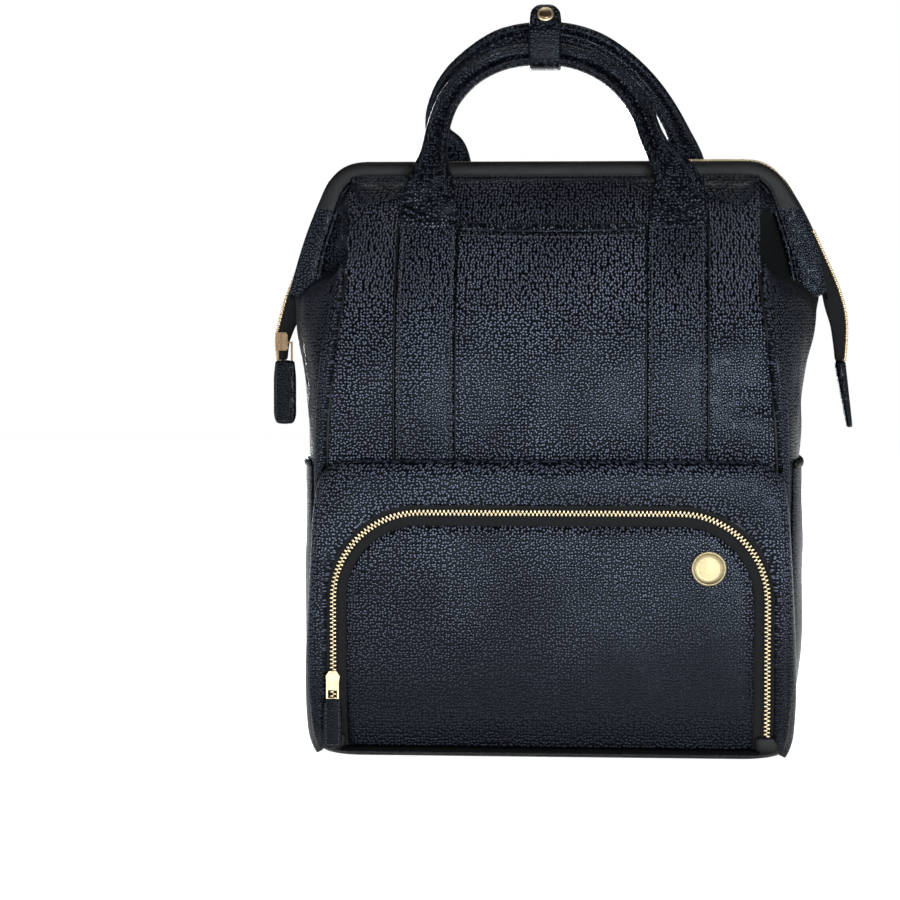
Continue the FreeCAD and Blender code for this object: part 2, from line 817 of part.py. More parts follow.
def pocket_pull():
    """The pocket's pull: a loop through the bail and a leather tab that hangs down."""
    centre, wire = -dim.zip_half_width, 1.1
    middle = FLAP_BACK + dim.chain_thickness + 0.6 + 2.25
    top, low = POCKET_SLIDER_HEIGHT + 5.4, POCKET_SLIDER_HEIGHT - 6
    loop = new_body("pocket_pull_loop")
    pad(loop, "XZ_Plane", middle - wire / 2, rectangle(centre - 4, centre + 4, low, top + wire / 2), wire)
    hole = rectangle(centre - 2.9, centre + 2.9, low + wire, top - wire / 2)
    cut(loop, "XZ_Plane", middle + wire, hole, 2 * wire)
    leather = new_body("pocket_pull_tab")
    half, thin, foot = 6, 3, 9
    corners = [
        (centre - half + 2, foot),
        (centre + half - 2, foot),
        (centre + half, foot + 3),
        (centre + half, low + 1.2),
        (centre - half, low + 1.2),
        (centre - half, foot + 3),
    ]
    pad(leather, "XZ_Plane", middle - thin / 2, corners, thin)
    slot = rectangle(centre - 4.2, centre + 4.2, low - 0.2, low + 2.2)
    cut(leather, "XZ_Plane", middle + 0.75, slot, 1.5)


# ---------------------------------------------------------------- front straps and slip pocket


def face_profile(low, high, thickness, steps):
    """The side view of a strip that lies on the mouth's front panel between two heights."""
    heights = [low] + [s for s in steps if low < s < high] + [high]
    inner = [(-tent_depth(z) - 0.3, z) for z in heights]
    outer = [(-tent_depth(z) - 0.3 - thickness, z) for z in reversed(heights)]
    return inner + outer


def upper_strip(label, across, width, high, thickness):
    """A strip on the mouth's front panel; its shape follows the panel's slope."""
    steps = (float(dim.hinge_height) + 8, 335.0)
    profile = face_profile(float(dim.tent_bottom), high, thickness, steps)
    points = [Vector(across - width / 2, y, z) for y, z in profile]
    face = Part.Face(Part.makePolygon(points + points[:1]))
    return solid_feature(label, face.extrude(Vector(width, 0, 0)))


def lower_strip(label, across, width, bottom, thickness):
    """A strip on the shell's front wall, above the pocket."""
    box = (across - width / 2, across + width / 2, bottom, dim.shell_top)
    return plate(label, "XZ_Plane", dim.shell_half_depth + 0.1, box, thickness)


def front_strap(side):
    across = dim.strap_spacing * (1 if side == "right" else -1)
    lower_strip(f"front_strap_{side}_lower", across, dim.strap_width, dim.strap_bottom, dim.strap_thickness)
    upper_strip(
        f"front_strap_{side}_upper",
        float(across),
        float(dim.strap_width),
        float(dim.handle_foot) - 7,
        float(dim.strap_thickness),
    )


def rear_strap(side):
    """The handle's sewn foot on the back yoke."""
    across = float(dim.strap_spacing) * (1 if side == "right" else -1)
    strap = upper_strip(
        f"rear_strap_{side}",
        -across,
        float(dim.strap_width),
        float(dim.handle_foot) - 7,
        float(dim.strap_thickness),
    )
    strap.Placement.Rotation = HALF_TURN


def slip_pocket():
    """The slip pocket between the straps; its panel is split where the mouth folds forward."""
    width = 2 * (dim.strap_spacing - dim.strap_width / 2) - 1
    lower_strip("slip_pocket_lower", 0 * width, width, dim.strap_bottom, dim.slip_thickness)
    upper_strip("slip_pocket_upper", 0.0, float(width), float(dim.slip_top), float(dim.slip_thickness))


# ---------------------------------------------------------------- handles and keeper


def handle(side):
    """A carrying handle: a leather grip bent to an arch. Its plane leans in to the keeper."""
    rear = side == "rear"
    apex = float(dim.rear_handle_height if rear else dim.front_handle_height)
    rise = apex - float(dim.handle_foot)
    run = float(dim.handle_foot_depth) - float(dim.handle_apex_depth)
    height, lean = math.hypot(rise, run), math.degrees(math.atan2(run, rise))
    radius = float(dim.handle_radius)
    legs = height - radius
    feet = [Vector(radius, 0, 0), Vector(radius, 0, legs), Vector(-radius, 0, legs), Vector(-radius, 0, 0)]
    route = Part.Wire(
        [
            Part.LineSegment(feet[0], feet[1]).toShape(),
            Part.Arc(feet[1], Vector(0, 0, height), feet[2]).toShape(),
            Part.LineSegment(feet[2], feet[3]).toShape(),
        ]
    )
    wide, thick = float(dim.grip_width) / 2, float(dim.grip_thickness) / 2

    def grip_section():
        flat = wide - thick
        east, west = Vector(radius + flat, 0, 0), Vector(radius - flat, 0, 0)
        push = Vector(0, thick, 0)
        return Part.Wire(
            [
                Part.LineSegment(west - push, east - push).toShape(),
                Part.Arc(east - push, east + Vector(thick, 0, 0), east + push).toShape(),
                Part.LineSegment(east + push, west + push).toShape(),
                Part.Arc(west + push, west - Vector(thick, 0, 0), west - push).toShape(),
            ]
        )

    sign = -1 if rear else 1
    made = solid_feature(f"{side}_handle", swept(route, grip_section()))
    made.Placement = FreeCAD.Placement(
        Vector(0, -sign * float(dim.handle_foot_depth), float(dim.handle_foot)),
        FreeCAD.Rotation(Vector(1, 0, 0), -sign * lean),
    )


def keeper_half(side):
    """Half of the leather keeper that wraps both handles; the halves meet below the handles and at the snap."""
    sign = 1 if side == "rear" else -1
    half, thin, gap = dim.keeper_half_depth, dim.keeper_thickness, 0.3
    low, high, top = dim.keeper_bottom, dim.keeper_top, dim.keeper_tab_top
    if side == "rear":
        top = top - 1
    shape = [
        (gap, low),
        (half - 5, low),
        (half, low + 5),
        (half, high - 4),
        (half - 4, high),
        (gap + thin, high),
        (gap + thin, top),
        (gap, top),
        (gap, high - thin),
        (half - 4.6, high - thin),
        (half - thin, high - 4.6),
        (half - thin, low + 5.6),
        (half - 5.6, low + thin),
        (gap, low + thin),
    ]
    body = new_body(f"keeper_{side}")
    across = dim.keeper_across - dim.keeper_width / 2
    pad(body, "YZ_Plane", across, [(sign * y, z) for y, z in shape], dim.keeper_width)
    soften(body, 6, lambda middle, way: abs(way.y) > 0.99 and middle.z > float(top) - 1)
    face = gap + thin
    if side == "front":
        disc = cylinder("snap_disc", 4.5, 1.4, dim.keeper_across, -face, top - 5.0, TOWARDS_FRONT)
    else:
        disc = cylinder("snap_back_disc", 4, 0.8, dim.keeper_across, face + 0.8, top - 4.4, TOWARDS_FRONT)
    rounded = doc.addObject("Part::Fillet", f"snap_{side}")
    rounded.Base = disc
    doc.recompute()
    crown = 0.9 if side == "front" else 0.5
    rounded.Edges = [
        (i, crown, crown)
        for i, edge in enumerate(disc.Shape.Edges, start=1)
        if edge.Closed and abs(edge.CenterOfMass.y) > float(face) + 0.4
    ]
    node(rounded, f"snap_{side}")


# ---------------------------------------------------------------- back panel and shoulder straps


def back_pad():
    """The padded panel that rests against the wearer's back."""
    box = (-98, 98, 30, 238)
    body = plate("back_pad", "XZ_Plane", -dim.shell_half_depth - 0.2 - dim.back_pad_thickness, box, dim.back_pad_thickness)
    soften(body, 22, along("y"))
    rear = float(dim.shell_half_depth + dim.back_pad_thickness)
    soften(body, 2.5, lambda middle, way: middle.y > rear)


STRAP_BACK = dim.shell_half_depth + dim.back_pad_thickness + 0.6


def shoulder_strap(side):
    """A padded shoulder strap that lies flat down the back, wide at the shoulder and narrow below."""
    sign = 1 if side == "right" else -1
    thick = dim.shoulder_thickness
    wide, narrow = dim.shoulder_width / 2, dim.webbing_width / 2 + 4
    corners = [
        (sign * 46 - wide, 244),
        (sign * 46 + wide, 244),
        (sign * 58 + wide, 170),
        (sign * 76 + narrow, 84),
        (sign * 76 - narrow, 84),
        (sign * 58 - wide, 170),
    ]
    padding, anchor = blank(f"shoulder_padding_{side}"), blank(f"shoulder_anchor_{side}")
    pad(padding, "XZ_Plane", -STRAP_BACK - thick, corners, thick)
    rear = float(STRAP_BACK + thick)
    soften(padding, 4, lambda middle, way: middle.y > rear - 0.1)
    foot = rectangle(sign * 46 - wide + 5, sign * 46 + wide - 5, 238.4, 254)
    pad(anchor, "XZ_Plane", -STRAP_BACK - 4, foot, STRAP_BACK + 4 - dim.shell_half_depth - 0.2)
    fused(f"shoulder_strap_{side}", [padding, anchor])


# The webbing runs from the bag's lower corner up to the padded strap, and the slider moves along it.
WEBBING_FOOT = (96.0, 20.0)
WEBBING_HEAD = (76.0, 79.0)


def webbing_strip(sign, half, start, end):
    """A strip between two shares of the webbing's run, as wide as asked."""
    (x0, z0), (x1, z1) = WEBBING_FOOT, WEBBING_HEAD
    length = math.hypot(x1 - x0, z1 - z0)
    ux, uz = sign * (x1 - x0) / length, (z1 - z0) / length
    (xa, za), (xb, zb) = [(sign * (x0 + (x1 - x0) * t), z0 + (z1 - z0) * t) for t in (start, end)]
    return [
        (xa - half * uz, za + half * ux),
        (xa + half * uz, za - half * ux),
        (xb + half * uz, zb - half * ux),
        (xb - half * uz, zb + half * ux),
    ]


def webbing(side):
    """The strap's webbing with its sewn foot, and the slider that adjusts its length."""
    sign = 1 if side == "right" else -1
    back, thick = STRAP_BACK + 2, dim.webbing_thickness
    half = float(dim.webbing_width) / 2
    run, foot = blank(f"webbing_run_{side}"), blank(f"webbing_foot_{side}")
    pad(run, "XZ_Plane", -back - thick, webbing_strip(sign, half, -0.05, 1.0), thick)
    patch = rectangle(sign * 96 - 16, sign * 96 + 16, 4.5, 20)
    pad(foot, "XZ_Plane", -back - thick, patch, back + thick - dim.shell_half_depth - 0.2)
    fused(f"strap_webbing_{side}", [run, foot])
    slider = new_body(f"strap_adjuster_{side}")
    pad(slider, "XZ_Plane", -back - thick - 2, webbing_strip(sign, half + 3.5, 0.30, 0.56), thick + 3.6)
    cut(slider, "XZ_Plane", 0.4 - back, webbing_strip(sign, half + 0.5, 0.2, 0.7), thick + 0.8)
    for low, high in ((0.34, 0.40), (0.46, 0.52)):
        cut(slider, "XZ_Plane", 2 - back, webbing_strip(sign, half + 0.5, low, high), thick + 6)


RING_ACROSS, RING_HEIGHT = 122, 236


def stroller_ring(side):
    """A D-ring on a sewn leather tab, for a stroller strap's hook."""
    sign = 1 if side == "right" else -1
    across = sign * RING_ACROSS
    wire, half = dim.ring_wire / 2, dim.ring_width / 2
    middle = dim.shell_half_depth + 4
    bow = doc.addObject("Part::Torus", f"ring_bow_{side}")
    bind(bow, "Radius1", half - wire)
    bind(bow, "Radius2", wire)
    bow.Angle3 = 180
    bow.Placement.Rotation = FreeCAD.Rotation(Vector(1, 0, 0), -90)
    place(bow, across, middle, RING_HEIGHT)
    bar = cylinder(f"ring_bar_{side}", wire, dim.ring_width - 2 * wire, across - half + wire, middle, RING_HEIGHT, ALONG_X)
    ends = []
    for end, offset in (("a", wire - half), ("b", half - wire)):
        ball = doc.addObject("Part::Sphere", f"ring_end_{side}_{end}")
        bind(ball, "Radius", wire)
        place(ball, across + offset, middle, RING_HEIGHT)
        ends.append(ball)
    fused(f"stroller_ring_{side}", [bow, bar] + ends)
    tab = doc.addObject("Part::Box", f"ring_tab_blank_{side}")
    bind(tab, "Length", dim.ring_width - 9)
    bind(tab, "Width", middle + wire + 1.4 - dim.shell_half_depth - 0.2)
    tab.Height = 18
    place(tab, across - (dim.ring_width - 9) / 2, dim.shell_half_depth + 0.2, RING_HEIGHT - wire - 1.4)
    bore = cylinder(f"ring_tab_bore_{side}", wire + 0.06, 40, across - 20, middle, RING_HEIGHT, ALONG_X)
    cut_from(f"ring_tab_{side}", tab, bore)


# ---------------------------------------------------------------- the whole bag

base_panel()
base_board()
flat_wall("front_wall", True)
flat_wall("back_wall", False)
lining()
for where in ("left", "right"):
    gusset(where)
    side_pocket(where)
    zip_tail(where)
    end_tab(where)
    hinge_rivet(where)
    front_strap(where)
    rear_strap(where)
    shoulder_strap(where)
    webbing(where)
    stroller_ring(where)
for where, behind in (("front", False), ("rear", True)):
    mouth_panel(f"{where}_yoke", behind)
    frame_bar(f"{where}_frame_bar", behind)
    frame_sleeve(f"{where}_frame_sleeve", behind)
    mouth_zip(where, behind)
    handle(where)
    keeper_half(where)
mouth_slider()
mouth_pull()
pocket_surround()
pocket_zip("outer", False)
pocket_zip("inner", True)
pocket_flap()
badge()
pocket_slider()
pocket_pull()
slip_pocket()
back_pad()
doc.recompute()

for thing in doc.Objects:
    if "Invalid" in thing.State or "Error" in thing.State:
        raise ValueError(f"{thing.Label} did not compute: {thing.State}")
os.makedirs("parts", exist_ok=True)
for thing in NODES:
    shape = thing.Shape
    if shape.isNull() or not shape.isValid() or not shape.Solids:
        raise ValueError(f"{thing.Label} has no valid solid")
    shape.exportStep(f"parts/{thing.Label}.step")
    print(f"{thing.Label}: {len(shape.Solids)} solid(s), {shape.Volume / 1000:.2f} cm3")
print(f"{len(NODES)} sub-parts")
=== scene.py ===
"""The diaper bag's looks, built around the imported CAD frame. Lengths in the tables are in millimetres."""

import math

import bmesh
import bpy
import numpy as np
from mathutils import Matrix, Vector, noise


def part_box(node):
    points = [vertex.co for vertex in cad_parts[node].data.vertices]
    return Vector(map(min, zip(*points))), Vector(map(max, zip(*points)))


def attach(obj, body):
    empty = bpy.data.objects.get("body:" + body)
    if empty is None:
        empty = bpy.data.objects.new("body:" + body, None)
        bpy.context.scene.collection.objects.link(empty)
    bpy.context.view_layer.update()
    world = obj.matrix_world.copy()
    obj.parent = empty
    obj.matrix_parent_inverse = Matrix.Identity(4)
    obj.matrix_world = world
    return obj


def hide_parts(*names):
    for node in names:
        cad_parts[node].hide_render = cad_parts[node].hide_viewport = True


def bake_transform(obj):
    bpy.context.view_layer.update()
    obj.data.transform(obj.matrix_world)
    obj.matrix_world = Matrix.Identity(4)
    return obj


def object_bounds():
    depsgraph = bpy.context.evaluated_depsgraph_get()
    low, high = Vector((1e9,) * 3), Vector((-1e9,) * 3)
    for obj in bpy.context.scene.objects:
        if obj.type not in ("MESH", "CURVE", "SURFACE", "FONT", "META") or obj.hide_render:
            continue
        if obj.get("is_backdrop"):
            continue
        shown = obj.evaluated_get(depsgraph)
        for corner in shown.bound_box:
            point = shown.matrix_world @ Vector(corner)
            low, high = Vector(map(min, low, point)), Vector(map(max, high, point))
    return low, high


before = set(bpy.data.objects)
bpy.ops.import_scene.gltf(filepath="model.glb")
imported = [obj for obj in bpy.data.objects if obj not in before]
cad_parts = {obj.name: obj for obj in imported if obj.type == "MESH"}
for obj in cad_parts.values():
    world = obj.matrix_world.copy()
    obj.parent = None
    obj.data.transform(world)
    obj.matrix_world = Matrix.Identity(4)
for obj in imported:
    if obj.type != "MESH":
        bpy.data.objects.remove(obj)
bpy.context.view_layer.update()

MM = 0.001
CAMERA_AZIMUTH, CAMERA_ELEVATION, CAMERA_DISTANCE = 4.0, 3.2, 1.9
CAMERA_AIM = (-0.0696, 0.0, 0.193)
CAMERA_LENS = 114.4

SIDES = (("right", 1), ("left", -1))
HALVES = (("front", -1), ("rear", 1))
# The heights between which the walls fold as the mouth opens.
FOLD_LOW, FOLD_HIGH = 198, 272
STRAP_X, STRAP_WIDTH, STITCH_OUT, STRAP_EDGE = 80, 38, 16.2, 19.6
TOOTH_PITCH = 1.3


def box_of(name):
    """The low and high corners of a CAD node's box, in millimetres."""
    low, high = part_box(name)
    return low / MM, high / MM


# ---------------------------------------------------------------- materials


class Shader:
    """Builds one procedural material; textures are laid in the object's own coordinates, in metres."""

    def __init__(self, name, colour, roughness, metallic=0.0, **sockets):
        self.material = bpy.data.materials.new(name)
        self.material.use_nodes = True
        self.tree = self.material.node_tree
        self.surface = self.tree.nodes["Principled BSDF"]
        self.surface.inputs["Base Color"].default_value = (*colour, 1)
        self.surface.inputs["Roughness"].default_value = roughness
        self.surface.inputs["Metallic"].default_value = metallic
        self.surface.inputs["Specular IOR Level"].default_value = 0.12
        for socket, value in sockets.items():
            self.surface.inputs[socket.replace("_", " ")].default_value = value
        self.place = self.add("ShaderNodeTexCoord").outputs["Object"]

    def add(self, kind, inputs=None, **settings):
        node = self.tree.nodes.new(kind)
        for name, value in settings.items():
            setattr(node, name, value)
        for name, value in (inputs or {}).items():
            if isinstance(value, bpy.types.NodeSocket):
                self.tree.links.new(value, node.inputs[name])
            else:
                node.inputs[name].default_value = value
        return node

    def noise(self, scale, detail=3.0, place=None):
        inputs = {"Vector": place or self.place, "Scale": scale, "Detail": detail}
        return self.add("ShaderNodeTexNoise", inputs).outputs["Fac"]

    def flat(self, place, wraps):
        """Coordinates across and up a wall. On a piece that wraps round the side, depth counts as across."""
        parts = self.add("ShaderNodeSeparateXYZ", {"Vector": place}).outputs
        across = parts["X"]
        if wraps:
            depth = self.maths("ABSOLUTE", parts["Y"], 0.0)
            across = self.maths("SUBTRACT", self.maths("ABSOLUTE", across, 0.0), depth)
        return self.add("ShaderNodeCombineXYZ", {"X": across, "Y": parts["Z"]}).outputs[0]

    def height_shade(self, stops):
        """Painted shade by height: the leather's colour is darkest at the foot of the bag and darker under
        the mouth's band.
        """
        height = self.add("ShaderNodeSeparateXYZ", {"Vector": self.place}).outputs["Z"]
        return self.ramp(self.spread(height, 0.0, 1.0, 0.0, 0.4), stops)

    def cells(self, scale, place=None, feature="DISTANCE_TO_EDGE", randomness=1.0, flat=False):
        inputs = {"Vector": place or self.place, "Scale": scale, "Randomness": randomness}
        size = "2D" if flat else "3D"
        return self.add(
            "ShaderNodeTexVoronoi", inputs, feature=feature, voronoi_dimensions=size
        ).outputs["Distance"]

    def warped(self, scale, amount):
        """The coordinates pushed about by noise, so that cells don't look regular."""
        push = self.add("ShaderNodeTexNoise", {"Vector": self.place, "Scale": scale, "Detail": 1.0})
        centred = self.add(
            "ShaderNodeVectorMath", {0: push.outputs["Color"], 1: (0.5, 0.5, 0.5)}, operation="SUBTRACT"
        )
        scaled = self.add("ShaderNodeVectorMath", {0: centred.outputs[0]}, operation="SCALE")
        scaled.inputs["Scale"].default_value = amount
        return self.add(
            "ShaderNodeVectorMath", {0: self.place, 1: scaled.outputs[0]}, operation="ADD"
        ).outputs[0]

    def ramp(self, value, stops):
        node = self.add("ShaderNodeValToRGB", {"Fac": value})
        ramp = node.color_ramp
        while len(ramp.elements) < len(stops):
            ramp.elements.new(1.0)
        for element, (position, colour) in zip(ramp.elements, stops):
            element.position = position
            element.color = (*colour, 1) if hasattr(colour, "__len__") else (colour, colour, colour, 1)
        return node.outputs["Color"]

    def spread(self, value, low, high, start=0.0, end=1.0):
        inputs = {"Value": value, "From Min": start, "From Max": end, "To Min": low, "To Max": high}
        return self.add("ShaderNodeMapRange", inputs).outputs["Result"]

    def maths(self, operation, first, second):
        return self.add("ShaderNodeMath", {0: first, 1: second}, operation=operation).outputs[0]

    def colour(self, socket):
        self.tree.links.new(socket, self.surface.inputs["Base Color"])

    def roughness(self, socket):
        self.tree.links.new(socket, self.surface.inputs["Roughness"])

    def bump(self, height, distance, strength=1.0, under=None):
        inputs = {"Height": height, "Distance": distance, "Strength": strength}
        if under is not None:
            inputs["Normal"] = under
        normal = self.add("ShaderNodeBump", inputs).outputs["Normal"]
        self.tree.links.new(normal, self.surface.inputs["Normal"])
        return normal


def pebbled_leather(name, creases, sides, painted_highlight, scale=500.0, depth=0.00048, wall="flat"):
    """Even rounded pebbles, with pale painted highlights on their tops and painted shade in the dark creases
    between them.

    wall says how they lie: on a flat wall, on one that wraps round the side, or on a round strap.
    """
    s = Shader(name, sides, 0.4, Specular_IOR_Level=0.12, Specular_Tint=(0.74, 0.85, 1.0, 1.0))
    place = s.warped(200.0, 0.0006)
    if wall != "round":
        place = s.flat(place, wall == "wraps")
    gap = s.cells(scale, place, "F1", 0.7, wall != "round")
    dome = s.spread(s.maths("MULTIPLY", gap, gap), 1.0, 0.0, 0.0, 0.34)
    patch = s.noise(22.0, 4.0)
    grain = s.noise(2600.0, 2.0)
    # Painted shade: the pebbles' highlights dim towards the foot of the bag and under the band.
    height_shade = s.height_shade(
        [(0.02, 0.62), (0.12, 0.80), (0.22, 0.92), (0.34, 1.0), (0.78, 1.0), (0.87, 0.93), (0.94, 0.86)]
    )
    tone = s.maths("MULTIPLY", s.maths("MULTIPLY", dome, height_shade), s.spread(patch, 0.9, 1.02, 0.3, 0.7))
    # Painted light: the creases get a dark colour as shade, and the pebbles' tops a pale one as glints.
    s.colour(
        s.ramp(tone, [(0.1, creases), (0.5, sides), (0.74, tuple(c * 3.2 for c in sides)), (0.98, painted_highlight)])
    )
    s.roughness(s.spread(patch, 0.27, 0.38, 0.3, 0.7))
    fine = s.bump(grain, 0.00003, 0.4)
    s.bump(dome, depth, 1.0, fine)
    return s.material


def smooth_leather(name, dark, light, roughness=0.36):
    s = Shader(name, light, roughness, Specular_IOR_Level=0.14)
    grain = s.cells(1500.0, s.warped(700.0, 0.0008))
    patch = s.noise(45.0, 4.0)
    s.colour(s.ramp(patch, [(0.3, dark), (0.75, light)]))
    s.roughness(s.spread(patch, roughness - 0.06, roughness + 0.12, 0.3, 0.8))
    s.bump(s.spread(grain, 0.0, 1.0, 0.0, 0.4), 0.00009, 0.7)
    return s.material


def woven(name, dark, light, scale, depth=0.00025, roughness=0.85, sheen=0.3):
    """Plain weave: two sets of threads at right angles, across the panel and up it."""
    s = Shader(name, light, roughness, Sheen_Weight=sheen, Sheen_Roughness=0.5)
    parts = s.add("ShaderNodeSeparateXYZ", {"Vector": s.place}).outputs
    along = s.maths("ADD", parts["X"], parts["Y"])
    warp = s.maths("SINE", s.maths("MULTIPLY", along, scale), 0.0)
    weft = s.maths("SINE", s.maths("MULTIPLY", parts["Z"], scale), 0.0)
    threads = s.maths("MULTIPLY", warp, weft)
    fibre = s.noise(3000.0, 2.0)
    height = s.maths("ADD", s.spread(threads, 0.0, 1.0, -1.0, 1.0), s.maths("MULTIPLY", fibre, 0.4))
    patch = s.noise(30.0, 3.0)
    s.colour(s.ramp(s.maths("MULTIPLY", height, s.spread(patch, 0.7, 1.1)), [(0.1, dark), (0.95, light)]))
    s.bump(height, depth, 0.9)
    return s.material


def spacer_mesh(name, dark, light):
    s = Shader(name, light, 0.8, Sheen_Weight=0.05)
    holes = s.cells(420.0, feature="F1")
    s.colour(s.ramp(holes, [(0.18, dark), (0.42, light)]))
    s.bump(s.spread(holes, 0.0, 1.0, 0.15, 0.5), 0.0006, 0.9)
    return s.material


def metal(name, colour, roughness, wear=0.12):
    s = Shader(name, colour, roughness, 1.0)
    patch = s.noise(180.0, 4.0)
    scratch = s.add("ShaderNodeTexNoise", {"Vector": s.place, "Scale": 900.0, "Detail": 2.0}).outputs["Fac"]
    dim = tuple(c * 0.72 for c in colour)
    s.colour(s.ramp(patch, [(0.25, dim), (0.7, colour)]))
    s.roughness(s.spread(scratch, roughness - wear / 2, roughness + wear))
    s.bump(scratch, 0.00002, 0.4)
    return s.material


def fibreboard(name, dark, light):
    s = Shader(name, light, 0.75)
    speck = s.noise(700.0, 4.0)
    s.colour(s.ramp(speck, [(0.35, dark), (0.7, light)]))
    s.bump(speck, 0.00015, 0.6)
    return s.material


LEATHER = pebbled_leather(
    "pebbled_leather", (0.0003, 0.0004, 0.0007), (0.0014, 0.0017, 0.0029), (0.100, 0.112, 0.150)
)
# A darker copy of the pebbled leather, with dimmer tops: painted shade for the side walls, the pocket floor
# and the strips under the band.
SHADED_LEATHER = pebbled_leather(
    "pebbled_shaded_leather", (
        0.0003, 0.0004, 0.0006
    ), (0.0006, 0.0008, 0.0013), (0.034, 0.040, 0.056), wall="wraps"
)
WRAPPED_LEATHER = pebbled_leather(
    "pebbled_wrapped_leather", (
        0.0003, 0.0004, 0.0007
    ), (0.0013, 0.0016, 0.0027), (0.090, 0.102, 0.140), wall="wraps"
)
STRAP_LEATHER = pebbled_leather(
    "pebbled_strap_leather", (
        0.0003, 0.0004, 0.0007
    ), (0.0013, 0.0016, 0.0027), (0.088, 0.100, 0.137), 520, 0.0004
)
# The handles' piping is the pebbled leather with brighter tops: painted highlights along the ridges.
PAINTED_HIGHLIGHT_PIPING = pebbled_leather(
    "pebbled_piping_painted_highlight", (0.0006, 0.0007, 0.001), (0.004, 0.0046, 0.0065), (0.17, 0.185, 0.23), 620,
    wall="round"
)
TAB_LEATHER = pebbled_leather(
    "pebbled_tab_leather", (
        0.0003, 0.0003, 0.0004
    ), (0.0007, 0.0007, 0.0009), (0.012, 0.012, 0.014), wall="round"
)
BAND = smooth_leather("band_leather", (0.0012, 0.0011, 0.0011), (0.0036, 0.0032, 0.0031), 0.46)
HANDLE = pebbled_leather(
    "strap_leather", (
        0.0003, 0.0004, 0.0007
    ), (0.0015, 0.0018, 0.003), (0.145, 0.16, 0.205), 500, 0.0004, "round"
)
LINING = woven("lining_cloth", (0.045, 0.05, 0.06), (0.12, 0.13, 0.15), 7000.0, 0.0001, 0.8)
TAPE = woven("zip_tape", (0.0008, 0.0008, 0.001), (0.003, 0.003, 0.0036), 9000.0, 0.0001, 0.75, 0.05)
WEBBING = woven(
    "strap_webbing_weave", (0.0015, 0.0015, 0.002), (0.008, 0.0085, 0.011), 3600.0, 0.0003, 0.7, 0.1
)
FABRIC = woven(
    "strap_padding_cloth", (0.003, 0.0035, 0.005), (0.015, 0.0175, 0.024), 5200.0, 0.00015, 0.8, 0.1
)
MESH = spacer_mesh("back_mesh", (0.001, 0.001, 0.0013), (0.016, 0.017, 0.021))
GOLD = metal("pale_gold", (0.66, 0.53, 0.33), 0.36)
BADGE = metal("badge_gold", (0.31, 0.255, 0.145), 0.5)
BRONZE = metal("dark_bronze", (0.16, 0.105, 0.06), 0.34)
STEEL = metal("frame_steel", (0.46, 0.46, 0.47), 0.34)
BOARD = fibreboard("base_board_fibre", (0.03, 0.028, 0.026), (0.09, 0.085, 0.08))
THREAD = woven("stitching_thread", (0.004, 0.0045, 0.006), (0.014, 0.016, 0.021), 9000.0, 0.0001, 0.6)
# Near-black cloth: the real backing of the slip pocket and the pocket floor, and painted shade in the right
# gusset's hollow.
BACKING_AND_PAINTED_SHADE = woven(
    "leather_backing_and_painted_shade", (0.0006, 0.0006, 0.0007), (0.0016, 0.0016, 0.0018), 5200.0, 0.0001, 0.95, 0.0
)

# ---------------------------------------------------------------- mesh building


def curve(*points):
    """A smooth function through (position, value, ...) rows."""
    at = np.array([p[0] for p in points], float)
    values = np.array([p[1:] for p in points], float)
    slopes = np.gradient(values, at, axis=0)

    def value(position):
        p = min(max(position, at[0]), at[-1])
        i = min(int(np.searchsorted(at, p, side="right")) - 1, len(at) - 2)
        step = at[i + 1] - at[i]
        t = (p - at[i]) / step
        a, b = 2 * t**3 - 3 * t**2 + 1, t**3 - 2 * t**2 + t
        c, d = 3 * t**2 - 2 * t**3, t**3 - t**2
        result = a * values[i] + b * step * slopes[i] + c * values[i + 1] + d * step * slopes[i + 1]
        return float(result[0]) if len(result) == 1 else result

    return value


def bearings(line):
    """Each point of an open upright line, with the line's direction there and the one square to it."""
    for i, p in enumerate(line):
        way = (line[min(i + 1, len(line) - 1)] - line[max(i - 1, 0)]).normalized()
        yield p, way, Vector((-way.z, 0, way.x))


def ring_at(p, normal, section, sign=1):
    """A section round a point of a line, from (distance along the normal, depth on the sign's side) pairs."""
    return [p + normal * a + Vector((0, sign * b, 0)) for a, b in section]


def through(points, count):
    """Evenly spaced points on a smooth line through the given ones."""
    points = np.array(points, float)
    gone = np.concatenate([[0], np.cumsum(np.linalg.norm(np.diff(points, axis=0), axis=1))])
    line = curve(*[(g, *p) for g, p in zip(gone, points)])
    return [Vector(line(g)) for g in np.linspace(0, gone[-1], count)]


def evenly(points, step):
    """Points at a fixed spacing along a line, with the line's direction at each."""
    points = [Vector(p) for p in points]
    lengths = [(b - a).length for a, b in zip(points, points[1:])]
    total = sum(lengths)
    count = max(int(total / step), 1)
    found, i, passed = [], 0, 0.0
    for k in range(count):
        goal = (k + 0.5) * total / count
        while passed + lengths[i] < goal and i < len(lengths) - 1:
            passed += lengths[i]
            i += 1
        way = points[i + 1] - points[i]
        found.append((points[i] + way * ((goal - passed) / max(lengths[i], 1e-9)), way.normalized()))
    return found


def mesh_object(name, points, faces, material, smooth=True):
    """A mesh from points in millimetres."""
    mesh = bpy.data.meshes.new(name)
    mesh.from_pydata([tuple(c * MM for c in p) for p in points], [], faces)
    mesh.materials.append(material)
    mesh.polygons.foreach_set("use_smooth", [smooth] * len(mesh.polygons))
    mesh.update()
    made = bpy.data.objects.new(name, mesh)
    bpy.context.scene.collection.objects.link(made)
    return made


def grid_faces(rows, columns, around=False, start=0):
    wrap = columns if around else columns - 1
    return [
        (
            start + r * columns + c,
            start + r * columns + (c + 1) % columns,
            start + (r + 1) * columns + (c + 1) % columns,
            start + (r + 1) * columns + c,
        )
        for r in range(rows - 1)
        for c in range(wrap)
    ]


